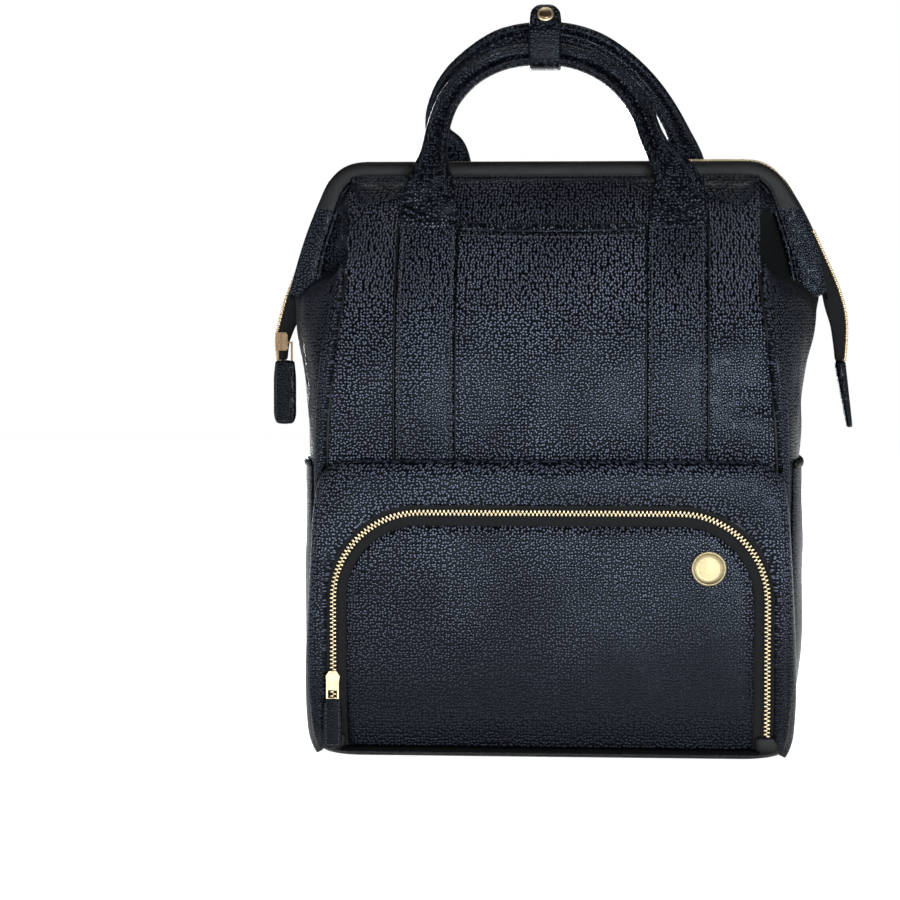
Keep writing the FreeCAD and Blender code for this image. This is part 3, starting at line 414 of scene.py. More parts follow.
def applied(thing):
    """Turns the modified shape into the mesh itself."""
    depsgraph = bpy.context.evaluated_depsgraph_get()
    depsgraph.update()
    mesh = bpy.data.meshes.new_from_object(thing.evaluated_get(depsgraph))
    mesh.name = thing.name
    thing.modifiers.clear()
    thing.data = mesh
    return thing


def faced(thing, towards):
    """Turns the mesh's faces so that, on the whole, they look towards a direction."""
    total = sum((p.normal * p.area for p in thing.data.polygons), Vector())
    if total.dot(Vector(towards)) < 0:
        thing.data.flip_normals()
    return thing


def sheet(name, rows, material, thickness, towards, inside=None, levels=1):
    """A sheet of leather or cloth through rows of points, with its thickness behind its face."""
    points = [p for row in rows for p in row]
    made = mesh_object(name, points, grid_faces(len(rows), len(rows[0])), material)
    faced(made, towards)
    solid = made.modifiers.new("thickness", "SOLIDIFY")
    solid.thickness = thickness * MM
    solid.offset = -1
    if inside is not None:
        made.data.materials.append(inside)
        solid.material_offset = 1
    if levels:
        smooth = made.modifiers.new("smooth", "SUBSURF")
        smooth.levels = smooth.render_levels = levels
    return applied(made)


def tube(name, sections, material, closed=False, levels=1):
    """A closed skin through a list of closed sections; its ends are capped unless it closes on itself."""
    points = [p for section in sections for p in section]
    count, around = len(sections), len(sections[0])
    faces = grid_faces(count, around, True)
    if closed:
        last = (count - 1) * around
        faces += [(last + c, last + (c + 1) % around, (c + 1) % around, c) for c in range(around)]
    else:
        faces += [tuple(range(around))[::-1], tuple((count - 1) * around + c for c in range(around))]
    made = mesh_object(name, points, faces, material)
    if levels:
        smooth = made.modifiers.new("smooth", "SUBSURF")
        smooth.levels = smooth.render_levels = levels
        applied(made)
    return outward(made)


def outward(thing):
    """Makes a closed mesh's faces look outwards."""
    shape = bmesh.new()
    shape.from_mesh(thing.data)
    bmesh.ops.recalc_face_normals(shape, faces=shape.faces)
    shape.to_mesh(thing.data)
    shape.free()
    return thing


def oval(width, height, count=12, power=1.0, groove=0.0):
    """A rounded closed section; a low power squares it, and a groove pinches its two broad faces."""
    found = []
    for k in range(count):
        turn = 2 * math.pi * k / count
        c, s = math.cos(turn), math.sin(turn)
        a = math.copysign(abs(c) ** power, c) * width / 2
        b = math.copysign(abs(s) ** power, s) * height / 2
        b *= 1 - groove * math.exp(-((a / (0.15 * width)) ** 2))
        found.append((a, b))
    return found


def swept(name, path, section, side, material, closed=False, levels=1):
    """A section carried along a path. side is the section's first axis, or a function of (index, direction);
    section is its points, or a function of the share of the path passed."""
    path = [Vector(p) for p in path]
    rings = []
    for i, p in enumerate(path):
        before = path[i - 1] if i or closed else path[0]
        after = path[(i + 1) % len(path)] if i < len(path) - 1 or closed else path[-1]
        way = (after - before).normalized()
        first = Vector(side(i, way) if callable(side) else side)
        first = (first - way * first.dot(way)).normalized()
        second = way.cross(first)
        shape = section(i / (len(path) - 1)) if callable(section) else section
        rings.append([p + first * a + second * b for a, b in shape])
    return tube(name, rings, material, closed, levels)


def lathe(name, centre, axis, profile, material, count=40):
    """A turned piece: profile is (radius, distance along the axis) from its back to its front."""
    axis = Vector(axis).normalized()
    first = axis.orthogonal().normalized()
    second = axis.cross(first)
    rings = [
        [
            Vector(centre) + axis * along + (first * math.cos(t) + second * math.sin(t)) * radius
            for t in (2 * math.pi * k / count for k in range(count))
        ]
        for radius, along in profile
    ]
    return tube(name, rings, material, levels=0)


def bent_box(name, boxes, material):
    """Small rounded blocks in one mesh, each (centre, along, across, up) with half lengths as vectors."""
    points, faces = [], []
    corner = 0.62
    ring = [
        (1, -corner), (1, corner), (corner, 1), (-corner, 1), (-1, corner), (-1, -corner), (-corner, -1),
        (corner, -1)
    ]
    for centre, along, across, up in boxes:
        start = len(points)
        for level, size in ((-1, 0.7), (-0.6, 1.0), (0.6, 1.0), (1, 0.7)):
            points += [centre + along * (a * size) + across * (b * size) + up * level for a, b in ring]
        faces += grid_faces(4, 8, True, start)
        faces += [tuple(range(start, start + 8))[::-1], tuple(range(start + 24, start + 32))]
    return outward(mesh_object(name, points, faces, material))


def stitches(name, line, outward_at, pitch=3.6, length=2.6, width=0.75, material=THREAD):
    """A row of stitches on a line, each a short raised thread."""
    boxes = []
    for point, way in evenly(line, pitch):
        up = Vector(outward_at(point) if callable(outward_at) else outward_at).normalized()
        across = way.cross(up).normalized()
        boxes.append((point + up * 0.15, way * (length / 2), across * (width / 2), up * (width / 2)))
    return bent_box(name, boxes, material)


def riding(body, slot, nodes, *things):
    """The pieces ride on a body; the first of them stands for the CAD nodes."""
    for i, thing in enumerate(things):
        if i == 0 and nodes:
            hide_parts(*nodes)
        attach(thing, body)
    return things[0]


def bending(half, slot, nodes, *things):
    """The pieces are fixed where they are made, their transforms baked into their meshes; the first of them
    stands for the CAD nodes, which are hidden.
    """
    for i, thing in enumerate(things):
        if i == 0 and nodes:
            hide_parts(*nodes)
        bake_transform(thing)
    return things[0]


def wander(x, y, z, size, seed=0.0):
    """Smooth noise between about -1 and 1 over a length in millimetres."""
    return noise.noise(Vector((x / size + seed, y / size, z / size + 7.3 * seed))) * 1.6


def eased(value, low, high):
    t = min(max((value - low) / (high - low), 0.0), 1.0)
    return t * t * (3 - 2 * t)


# ---------------------------------------------------------------- the soft shell: front, back and gussets

panel_half = curve(
    (4, 146), (60, 147), (
        130, 146.5
    ), (188, 144.5), (230, 142.3), (255, 140), (294, 135), (315, 133), (346, 133), (366, 133.5), (376, 131)
)
panel_depth = curve(
    (4, 77), (60, 78.5), (130, 79), (186, 80.5), (200, 83), (235, 84.5), (262, 82.5), (286, 76.5),
    (305, 67.5), (320, 58.5), (340, 46.5), (355, 36.5), (368, 25.5), (377, 17.5),
)
rear_depth = curve(
    (4, 77), (60, 77.6), (
        186, 77.8
    ), (240, 77.8), (262, 76.8), (286, 71.5), (305, 64), (320, 56), (340, 45.5),
    (355, 36), (368, 25.5), (377, 17.5),
)


def on_panel(depth, x, z, lift, waves):
    """A point at a distance outside a panel whose depth by height is given."""
    slope = (depth(z + 1) - depth(z - 1)) / 2
    lean = math.hypot(1, slope)
    edge = abs(x) / panel_half(z)
    y = depth(z) - 3.6 * edge**14 + waves * (
        1.1 * wander(x, 0, z, 62, 1.0) + 0.5 * wander(x, 0, z, 23, 2.0)
    )
    return Vector((x, y + lift / lean, z - lift * slope / lean))


def panel_point(x, z, lift=0.0):
    """A point at a distance outside the front leather, given behind the middle; front() brings it forward."""
    return on_panel(panel_depth, x, z, lift, 1.0)


def rear_point(x, z, lift=0.0):
    """A point on the back leather, at a distance outside its face."""
    return on_panel(rear_depth, x, z, lift, 0.5 * eased(z, 235, 270))


def front(p):
    """The same point on the other side of the bag's middle, front to back."""
    return Vector((p[0], -p[1], p[2]))


def dent(p):
    """A soft crease across the panel's right-hand side."""
    depth = 2.6 * math.exp(-(((p.z - 229) / 6.5) ** 2)) * eased(p.x, 96, 128) * (1 - eased(p.x, 138, 146))
    return Vector((p.x, p.y + depth, p.z))


heights = [4, 20, 60, 100, 140, 170] + [185 + 4.2 * k for k in range(45)]
for side_name, place in (("front", lambda x, z: dent(front(panel_point(x, z)))), ("rear", rear_point)):
    rows = []
    for z in heights:
        half = panel_half(z)
        across = [half * math.sin(math.pi / 2 * (k / 30)) for k in range(-30, 31)]
        rows.append([place(x, z) for x in across])
    # The leather's top edge turns in and is caught inside the frame's band.
    for z, y in ((371.8, 20.2), (373.2, 16.2), (374.2, 11.5)):
        rows.append([Vector((p.x, math.copysign(y, p.y), z)) for p in rows[-1]])
    towards = (0, -1, 0.3) if side_name == "front" else (0, 1, 0.3)
    shell = sheet(f"{side_name}_leather_panel", rows, LEATHER, 1.9, towards, LINING)
    # The inside face is leather too where the wall folds, so that the lining doesn't show through.
    for polygon in shell.data.polygons:
        if FOLD_LOW < polygon.center.z / MM < FOLD_HIGH:
            polygon.material_index = 0
    wall = "front_wall" if side_name == "front" else "back_wall"
    bending(side_name, "leather", [wall, f"{side_name}_yoke"], shell)

# Half a gusset by height: six points from the panel's seam to the middle of the side.
GUSSET = {
    4: [(144, 72), (149, 67), (151, 55), (151.5, 35), (151.5, 15), (151.5, 0)],
    100: [(146, 74), (151, 68), (153, 55), (153.5, 35), (154, 15), (154, 0)],
    170: [(145, 76), (151, 69), (155, 55), (157, 35), (158, 15), (158, 0)],
    200: [(144, 78), (151, 70), (156, 55), (159.5, 35), (160.5, 15), (160.5, 0)],
    232: [(142, 79.5), (150.5, 71), (157, 54), (160.5, 34), (162, 15), (162, 0)],
    255: [(139.5, 79), (150, 71), (158, 54), (163, 34), (165.5, 15), (166, 0)],
    272: [(137.5, 75.5), (148.5, 69), (159, 53), (166, 33), (169.5, 15), (170.5, 0)],
    286: [(135.5, 71.5), (147, 65), (158, 49), (166, 30), (170.5, 13), (171.5, 1)],
    297: [(134.5, 67), (146, 60), (156.5, 44), (164, 27), (169, 13), (173.5, 5)],
    308: [(133.5, 61), (141, 54), (144, 40), (147, 26), (157, 13), (167, 6)],
    318: [(132.8, 56), (135, 48), (130, 34), (132, 21), (146, 12), (160, 8)],
    328: [(132.5, 50), (129, 42), (119, 29), (125, 18), (141, 11), (155, 8)],
    338: [(132.5, 43.5), (128, 37), (120, 25), (125, 17), (139, 12), (151, 9)],
    346: [(132.8, 39), (132, 34), (131, 26), (133, 19), (141, 14), (148, 10)],
    353: [(133, 34.5), (136, 32.5), (139, 27), (141.5, 21), (144, 15.5), (146, 11)],
    362: [(132.5, 26.5), (134.5, 25), (136.5, 21), (138, 17), (140, 14), (142, 12)],
    371: [(131.5, 18.5), (130, 17.5), (128, 15), (129, 13), (132, 12), (136, 12)],
}
gusset_line = [curve(*[(z, *GUSSET[z][k]) for z in sorted(GUSSET)]) for k in range(6)]


def gusset_row(z, sign_x, sign_y):
    ring = through([(*line(z), 0.0) for line in gusset_line], 22)
    found = []
    for k, p in enumerate(ring):
        t = k / 21
        puff = 1.6 * wander(
            40 * t * 3, sign_x * 50, z, 26, 3.0 + sign_y
        ) * math.sin(math.pi * t) * eased(z, 180, 240)
        tuck = 2.4 * (1 - eased(t, 0.0, 0.16))
        found.append(Vector((sign_x * (p.x + puff - 0.8 * tuck), sign_y * (p.y + 0.4 * puff - tuck), z)))
    return found


gusset_heights = [4, 40, 80, 120, 150, 175] + [190 + 4.5 * k for k in range(41)]
for side_name, sign_x in SIDES:
    for half, sign_y in HALVES:
        rows = [gusset_row(min(z, 370.5), sign_x, sign_y) for z in gusset_heights]
        # The side walls are in the darker copy of the leather: painted shade.
        made = sheet(
            f"gusset_{half}_{side_name}", rows, SHADED_LEATHER, 1.6, (sign_x, sign_y * 0.3, 0), LINING
        )
        # On the right, the gusset's faces in the hollow between the panel's edge and the leg's sleeve get the
        # near-black backing cloth: painted shade.
        made.data.materials.append(BACKING_AND_PAINTED_SHADE)
        for polygon in made.data.polygons:
            x, y, z = polygon.center / MM
            if x > 0 and 317 - (abs(x) - 137) < z < 347.5 + 2.0 * wander(x, y, z, 9, 15.0):
                polygon.material_index = 2
        bending(half, "leather", [f"side_gusset_{side_name}"], made)
        roll = []
        for k in range(75):
            z = 6 + 310 * k / 74
            x, y = gusset_line[0](z)
            roll.append((sign_x * (x + 2.5), sign_y * (y + 1.5), z))
        radius = curve((0, 3.0), (0.55, 4.0), (0.85, 4.9), (0.95, 3.6), (1.0, 1.0))
        # The corner rolls are in the darker copy of the leather too: painted shade.
        strip = swept(
            f"corner_roll_{half}_{side_name}",
            roll,
            lambda share: oval(2 * radius(share), 1.8 * radius(share), 10),
            (sign_x, 0, 0),
            SHADED_LEATHER,
        )
        bending(half, "leather", [], strip)

# Dark cords along the panels' side edges: partly the seam there, partly painted shadow between each panel and
# its corner roll.
for half, sign_y in HALVES:
    for side_name, sign_x in SIDES:
        creases = []
        for k in range(61):
            z = 8 + 302 * k / 60
            point = panel_point if half == "front" else rear_point
            p = point(sign_x * (panel_half(z) - 1.6), z, 0.9)
            creases.append(Vector((p.x, sign_y * p.y, p.z)))
        crease = swept(f"corner_seam_{half}_{side_name}", creases, oval(2.6, 1.8, 8), (1, 0, 0), BAND)
        bending(half, "band", [], crease)

# ---------------------------------------------------------------- straps on the panels, and the slip pocket


def strip_on_panel(name, low, high, centre, width, lift, material, place, steps=44):
    """A flat leather strip along the panel, with folded edges outside the groove of its stitches."""
    top = [
        (-0.5, 0.1), (-0.49, 0.8), (-0.465, 1.1), (-0.44, 1.0), (-0.425, 0.6), (-0.405, 0.95), (-0.35, 1.08)
    ]
    top += [(-0.2, 1.14), (0, 1.16)]
    top += [(-a, b) for a, b in reversed(top[:-1])]
    outline = top + [(0.4, -0.4), (0, -0.4), (-0.4, -0.4)]
    rings = []
    for k in range(steps + 1):
        z = low + (high - low) * k / steps
        rings.append([place(centre + a * width, z, lift * b) for a, b in outline])
    return tube(name, rings, material, levels=1)


def dark_edges_and_shadow(name, low, high, edges, place):
    """The dark painted edges beside a strip, reaching onto the panel as painted shadow along the strip."""
    return [
        swept(
            f"{name}_{tag}", [place(x, low + (high - low) * k / 40, 0.9) for k in range(41)],
            oval(1.7, 2.4, 8), (1, 0, 0), BAND
        )
        for tag, x in zip("ab", edges)
    ]


def on_front(x, z, lift=0.0):
    return front(panel_point(x, z, lift))


def panel_normal(place):
    def normal(point):
        z = point.z
        slope = (panel_depth(z + 1) - panel_depth(z - 1)) / 2
        return place(Vector((0, 1, -slope)))

    return normal


for side_name, sign in SIDES:
    strap = strip_on_panel(
        f"front_strap_{side_name}", 189, 342, sign * STRAP_X, STRAP_WIDTH, 3.2, STRAP_LEATHER, on_front
    )
    rows_of_stitches = []
    for tag, edge in (("a", -STITCH_OUT), ("b", STITCH_OUT)):
        line = [on_front(sign * STRAP_X + edge, 192 + 146 * k / 50, 2.6) for k in range(51)]
        rows_of_stitches.append(
            stitches(f"front_strap_stitch_{side_name}_{tag}", line, panel_normal(front))
        )
    nodes = [f"front_strap_{side_name}_lower", f"front_strap_{side_name}_upper"]
    bending("front", "leather", nodes, strap, *rows_of_stitches)
    edges = (sign * STRAP_X - STRAP_EDGE, sign * STRAP_X + STRAP_EDGE)
    bending("front", "band", [], *dark_edges_and_shadow(f"front_strap_edge_{side_name}", 190, 341, edges, on_front))
    rear_strap = strip_on_panel(
        f"rear_strap_leather_{side_name}", 262, 342, sign * STRAP_X, STRAP_WIDTH, 3.0, STRAP_LEATHER,
        rear_point
    )
    bending("rear", "band", [], *dark_edges_and_shadow(f"rear_strap_edge_{side_name}", 263, 341, edges, rear_point))
    line_a = [rear_point(sign * STRAP_X - STITCH_OUT, 264 + 74 * k / 30, 2.6) for k in range(31)]
    line_b = [rear_point(sign * STRAP_X + STITCH_OUT, 264 + 74 * k / 30, 2.6) for k in range(31)]
    foot = [
        rear_point(sign * STRAP_X - STITCH_OUT + 2 * STITCH_OUT * k / 12, 264.5, 3.2) for k in range(13)
    ]
    rear_stitches = [
        stitches(f"rear_strap_stitch_{side_name}_{tag}", line, panel_normal(lambda p: p))
        for tag, line in (("a", line_a), ("b", line_b), ("c", foot))
    ]
    bending("rear", "leather", [f"rear_strap_{side_name}"], rear_strap, *rear_stitches)

slip_rows = []
for k in range(50):
    z = 190 + 144 * k / 49
    slip_rows.append(
        [front(panel_point(-60.5 + 121 * c / 36, z, 1.8 + 0.9 * eased(z, 250, 330))) for c in range(37)]
    )
slip = sheet("slip_pocket_front", slip_rows, LEATHER, 1.2, (0, -1, 0.3), BACKING_AND_PAINTED_SHADE)
fold = [
    front(
        panel_point(-60.3 + 120.6 * c / 40, 338.2 - 1.2 * math.sin(math.pi * c / 40), 3.0)
    ) for c in range(41)
]
welt = swept("slip_pocket_welt", fold, oval(3.4, 6.6, 12, 0.6), (0, -1, 0.5), HANDLE)
hem = [
    front(
        panel_point(-59.5 + 119 * c / 40, 332.4 - 1.0 * math.sin(math.pi * c / 40), 3.5)
    ) for c in range(41)
]
welt_stitches = stitches("slip_pocket_stitch", hem, panel_normal(front), 3.4, 2.4, 0.6)
bending("front", "leather", ["slip_pocket_lower", "slip_pocket_upper"], slip, welt_stitches)
bending("front", "band", [], welt)

# ---------------------------------------------------------------- the mouth's frame: bands, zip and piping

SHOULDER, FRAME_TOP, BEND = 296.0, 375.0, 22.0
LEG_WIDE, LEG_NARROW = 165.0, 139.0


def frame_line(outset, bottom, extra=0.0, count=12):
    """The frame's route at a distance outside its bar: up the left leg, across the top and down the right."""
    slope = (LEG_WIDE - LEG_NARROW) / (FRAME_TOP - SHOULDER)
    lean = math.hypot(1, slope)

    def leg(z):
        return LEG_WIDE + extra - (z - SHOULDER) * slope + outset * lean

    top = FRAME_TOP + outset
    up = Vector((-slope, 0, 1)).normalized()
    corner, radius = Vector((leg(top), 0, top)), BEND + outset
    reach = radius * math.tan((math.pi / 2 - math.atan(slope)) / 2)
    start, end = corner - up * reach, corner - Vector((reach, 0, 0))
    half = [Vector((leg(bottom), 0, bottom)).lerp(start, k / 24) for k in range(24)]
    for k in range(count + 1):
        t = k / count
        middle = start.lerp(corner, t).lerp(corner.lerp(end, t), t)
        half.append(middle)
    half += [end.lerp(Vector((0, 0, top)), k / 16) for k in range(1, 17)]
    return [Vector((-p.x, 0, p.z)) for p in half] + [p for p in reversed(half[:-1])]


LEG_BULGE = curve(
    (292, 4.5), (302, 5.5), (315, 7.0), (330, 7.4), (350, 4.6), (366, 1.0), (374, 0.0), (400, 0.0)
)


def stand_out(p):
    """How far a sleeve stands outside its bar on the legs: the left one, held by the pull, less."""
    return LEG_BULGE(p.z) * (1.0 if p.x > 0 else 0.4)


def inner_edge(p):
    """How far inside its bar a sleeve's inner edge lies."""
    return -3.6 - 3.0 * (1 - eased(p.z, 297, 330)) + 0.11 * stand_out(p)


def band_section(p):
    """A sleeve's section at a point of its frame line: (distance outside the bar, depth)."""
    inner = inner_edge(p)
    outer = 6.8 + stand_out(p)
    shape = [(inner, 3.2), (inner - 0.3, 9), (inner + 0.4, 14.2), (inner + 2.6, 15.6), (1.5, 15.9)]
    shape += [(outer - 1.4, 15.6), (outer + 1.5, 14.2), (outer + 1.4, 12.8), (outer, 8), (outer - 0.4, 3.0)]
    return shape + [(0, 2.4)]


TAPE_SECTION = [(0.0, 1.4), (0.0, 7), (-0.2, 12.5), (0.5, 12.9), (0.8, 7), (0.9, 1.4)]

for half, sign, extra in (("front", -1, 0.0), ("rear", 1, 3.0)):
    line = frame_line(0.0, 293.0, extra)
    rings, bead, edge_line = [], [], []
    for p, _, normal in bearings(line):
        rings.append(ring_at(p, normal, band_section(p), sign))
        inner = inner_edge(p)
        bead.append(p + normal * (inner - 0.4) + Vector((0, sign * 15.2, 0)))
        edge_line.append(p + normal * (inner + 2.2) + Vector((0, sign * 15.9, 0)))
    band = tube(f"{half}_band", rings, BAND, levels=1)
    # Below 352 mm the sleeves on the legs are pebbled, in the darker copy of the leather: painted shade.
    band.data.materials.append(SHADED_LEATHER)
    for polygon in band.data.polygons:
        polygon.material_index = int(polygon.center.z < 0.352)
    piping = swept(f"{half}_band_piping", bead, oval(2.8, 2.8, 10), (0, 1, 0), HANDLE)
    thread = stitches(f"{half}_band_stitch", edge_line, (0, sign, 0), 3.4, 2.4, 0.55)
    riding(f"mouth_{half}", "band", [f"{half}_frame_sleeve"], band, piping, thread)

    tape_line = frame_line(7.7, 293.0)
    tape_line = [
        p + Vector((math.copysign(stand_out(p), p.x) if abs(p.x) > 100 else 0, 0, 0)) for p in tape_line
    ]
    rings = [ring_at(p, normal, TAPE_SECTION, sign) for p, _, normal in bearings(tape_line)]
    tape = tube(f"mouth_tape_{half}", rings, TAPE, levels=0)
    teeth = []
    for k, (p, way) in enumerate(evenly(tape_line, TOOTH_PITCH)):
        if k % 2 == (0 if half == "front" else 1) and p.z > 334:
            normal = Vector((-way.z, 0, way.x))
            proud = 0.1 if p.z > 371 and p.x < 84 else 1.1
            teeth.append(
                (
                    p + normal * proud + Vector((0, sign * 1.35, 0)), Vector((0, 1.55, 0)), way * 0.72,
                    normal * 1.05
                )
            )
    chain = bent_box(f"mouth_teeth_{half}", teeth, GOLD)
    riding(f"mouth_{half}", "zip", [f"mouth_zip_{half}"], tape)
    riding(f"mouth_{half}", "gold", [], chain)

for half, place in (("front", on_front), ("rear", rear_point)):
    for side_name, sign in SIDES:
        rows = []
        for k in range(15):
            share = k / 14
            row = []
            for c in range(23):
                x = 97 + 36.5 * c / 22
                low = 359.5 - 5.5 * eased(x, 97, 120) + 11 * eased(x, 122, 134) + 1.2 * wander(
                    x, 0, 0, 15, 13.0 + sign
                )
                z = low + (373 - low) * share
                lift = 0.7 + 1.1 * math.sin(math.pi * min(share * 1.4, 1.0)) * (1 - eased(x, 126, 133))
                lift += 0.3 * wander(x, 0, z, 11, 14.0)
                row.append(place(sign * x, z, lift if share else 0.1))
            rows.append(row)
        towards = (0, -1 if half == "front" else 1, 0.3)
        # The folds under the band are in the darker copy of the leather: painted shade.
        fold = sheet(f"{half}_top_fold_{side_name}", rows, SHADED_LEATHER, 0.8, towards)
        bending(half, "band", [], fold)

# ---------------------------------------------------------------- handles and keeper

FRONT_HANDLE = [
    (-79.5, 50.5, 338, 37.5, 3.4), (-80, 46, 352, 37, 4), (-80, 42, 364, 34, 5.5), (-79, 37.5, 376, 26, 8),
    (-77.8, 32.5, 388, 18, 10), (-75.6, 26, 404, 15.5, 10), (-67.8, 18.5, 425, 15, 10), (
        -54.2, 12.5, 440, 15, 9.6
    ),
    (-35.8, 8, 450, 15.2, 9.6), (-16.8, 5.8, 453.4, 15.2, 9.6), (5.2, 5.8, 452.8, 15.2, 9.6),
    (
        26.8, 8.4, 445.6, 15.2, 9.6
    ), (44.4, 14, 432.4, 15, 9.6), (56.2, 20, 416.2, 15.2, 10), (63.6, 28, 397.4, 16, 10),
    (70.4, 33.5, 385, 19, 10), (77, 37.5, 375, 28, 8), (80, 42, 364, 35, 5.5), (80.5, 46, 352, 37, 4),
    (80.5, 50.5, 338, 37.5, 3.4),
]
REAR_HANDLE = [
    (
        -80, 50.5, 338, 37, 3.4
    ), (-78, 46, 356, 38.5, 4.2), (-75.5, 41, 372, 40, 4.8), (-74.5, 37, 384, 34, 6),
    (-75.5, 33, 394, 29, 7.4), (
        -79.5, 28.5, 404, 18, 9.2
    ), (-80.5, 23, 416, 14.5, 10), (-71.5, 16, 437, 14.5, 10),
    (
        -52.8, 11, 454.6, 14.8, 9.6
    ), (-35, 7.4, 464.4, 15, 9.6), (-16, 5.8, 468, 15, 9.6), (8, 5.8, 467.2, 15, 9.6),
    (26, 7.6, 461.8, 15, 9.6), (
        43.4, 11.5, 451, 15, 9.6
    ), (60, 15.5, 435.4, 15, 10), (72, 21, 419.6, 15, 10),
    (81.5, 28, 402, 16.5, 9.4), (86.2, 34.5, 386, 24, 7), (85.5, 40.5, 372, 34, 5), (83, 46, 356, 38, 4.2),
    (81, 50.5, 338, 37, 3.4),
]


def handle_axes(path, i, sign):
    """The directions across a handle and out of its broad face at a point of its path."""
    way = (path[min(i + 1, len(path) - 1)] - path[max(i - 1, 0)]).normalized()
    deep = Vector((0, sign, 0.22))
    deep = (deep - way * deep.dot(way)).normalized()
    return way.cross(deep) * sign, deep


def handle(half, table, sign):
    """A strap that lies flat where it is sewn, folds in half with a twist, and arches up to the keeper."""
    points = [(x, sign * y, z) for x, y, z, _, _ in table]
    count = 120
    gone = np.concatenate([[0], np.cumsum(np.linalg.norm(np.diff(np.array(points), axis=0), axis=1))])
    size = curve(*[(g / gone[-1], w, d) for g, (_, _, _, w, d) in zip(gone, table)])
    path = through(points, count)
    rings = []
    for i, p in enumerate(path):
        share = i / (count - 1)
        wide, deep = handle_axes(path, i, sign)
        width, depth = size(share)
        folded = 1 - eased(width, 16, 34)
        crumple = (1 - folded) * 1.6 + 0.5
        shape = []
        for a, b in oval(width, depth, 24, 0.8, 0.75 * folded):
            rough = crumple * wander(p.x + a, b, p.z, 13, 5.0 + sign)
            shape.append(p + wide * a + deep * (b + 0.5 * rough))
        rings.append(shape)
    grip = tube(f"{half}_handle_leather", rings, HANDLE, levels=1)
    rows = []
    for tag, share_of_width in (("a", -0.31), ("b", 0.31)):
        line = []
        for i in range(8, count - 8):
            share = i / (count - 1)
            wide, deep = handle_axes(path, i, sign)
            width, depth = size(share)
            line.append(path[i] + wide * (share_of_width * width) + deep * (depth / 2 * 0.9))
        # Raised piping on each ridge, in the leather with painted highlights.
        rows.append(swept(f"{half}_handle_piping_{tag}", line, oval(2.6, 2.0, 8), (1, 0, 0.4), PAINTED_HIGHLIGHT_PIPING))
    riding(f"handle_{half}", "leather", [f"{half}_handle"], grip, *rows)


handle("front", FRONT_HANDLE, -1)
handle("rear", REAR_HANDLE, 1)

KEEPER_LOW, KEEPER_HIGH = -17.6, 4.0
for half, sign, top in (("front", -1, 486.5), ("rear", 1, 485.5)):
    outline = [
        (0.4, 443.6), (5.5, 443.4), (
            10.6, 445.4
        ), (13.0, 450), (13.3, 462), (12.9, 469.5), (11.4, 475), (8.6, 479.6),
        (5.8, 483.2), (3.6, 485.6), (2.0, top), (0.5, top - 0.5),
    ]
    inner = [
        (0.4, 479.0), (1.4, 476.8), (7.2, 475.2), (9.9, 471), (10.6, 462), (10.4, 451), (8.4, 447.2),
        (5, 446.0), (0.4, 446.0)
    ]
    rings = []
    for k in range(13):
        share = k / 12
        x = KEEPER_LOW + (KEEPER_HIGH - KEEPER_LOW) * share
        edge = abs(2 * share - 1)
        drop = 6.0 * max(edge - 0.3, 0) ** 2 / 0.49
        shape = []
        for y, z in outline:
            z_here = z - drop * eased(z, 474, 482)
            shape.append(Vector((x, sign * y * (1 - 0.02 * edge**6), z_here)))
        shape += [Vector((x, sign * y, z - (drop if z > 478 else 0))) for y, z in inner]
        rings.append(shape)
    loop = tube(f"keeper_{half}_leather", rings, HANDLE, levels=1)
    riding(f"handle_{half}", "leather", [f"keeper_{half}"], loop)
    face = Vector(((KEEPER_LOW + KEEPER_HIGH) / 2 + 0.4, sign * 8.5, 478.9))
    ring_shape = [(5.3, 0), (5.5, 0.9), (5.0, 1.5), (4.4, 1.5), (3.9, 1.0), (0.01, 1.0)]
    cap_shape = [(3.9, 0.9), (3.7, 1.3), (2.4, 1.75), (0.01, 1.9)]
    snap = lathe(f"snap_{half}_ring", face, (0, sign * 0.85, 0.52), ring_shape, GOLD)
    cap = lathe(f"snap_{half}_cap", face, (0, sign * 0.85, 0.52), cap_shape, BRONZE)
    riding(f"handle_{half}", "gold", [f"snap_{half}"], snap, cap)

# ---------------------------------------------------------------- the drop-front pocket

FLAP_FACE, BADGE_FACE = 97.6, 101.9
# The arch of the pocket's zip: half width, top and corner radius, and the leather's distance on each side.
ZIP_HALF, ZIP_TOP, ZIP_RADIUS = 137, 159, 55
SURROUND_GAP, FLAP_GAP = 3.8, 8.4


def arch_line(half, top, radius, low, sides=26, corner=14, across=24):
    """Points round an arch with rounded top corners, from its lower left to its lower right end."""
    right = [Vector((half, 0, low + (top - radius - low) * k / sides)) for k in range(sides)]
    for k in range(corner + 1):
        turn = math.pi / 2 * k / corner
        right.append(
            Vector((half - radius + radius * math.cos(turn), 0, top - radius + radius * math.sin(turn)))
        )
    right += [Vector(((half - radius) * (1 - k / across), 0, top)) for k in range(1, across + 1)]
    return [Vector((-p.x, 0, p.z)) for p in right] + [p for p in reversed(right[:-1])]


pocket_half = curve(
    (2, 148), (10, 151.5), (28, 154), (60, 155), (92, 154), (130, 152), (165, 149.5), (182, 146.5),
    (192, 144.5)
)
pocket_puff = curve(
    (2, 84), (8, 90), (20, 95.5), (50, 99.5), (100, 101), (150, 100.5), (175, 98.5), (192, 95)
)

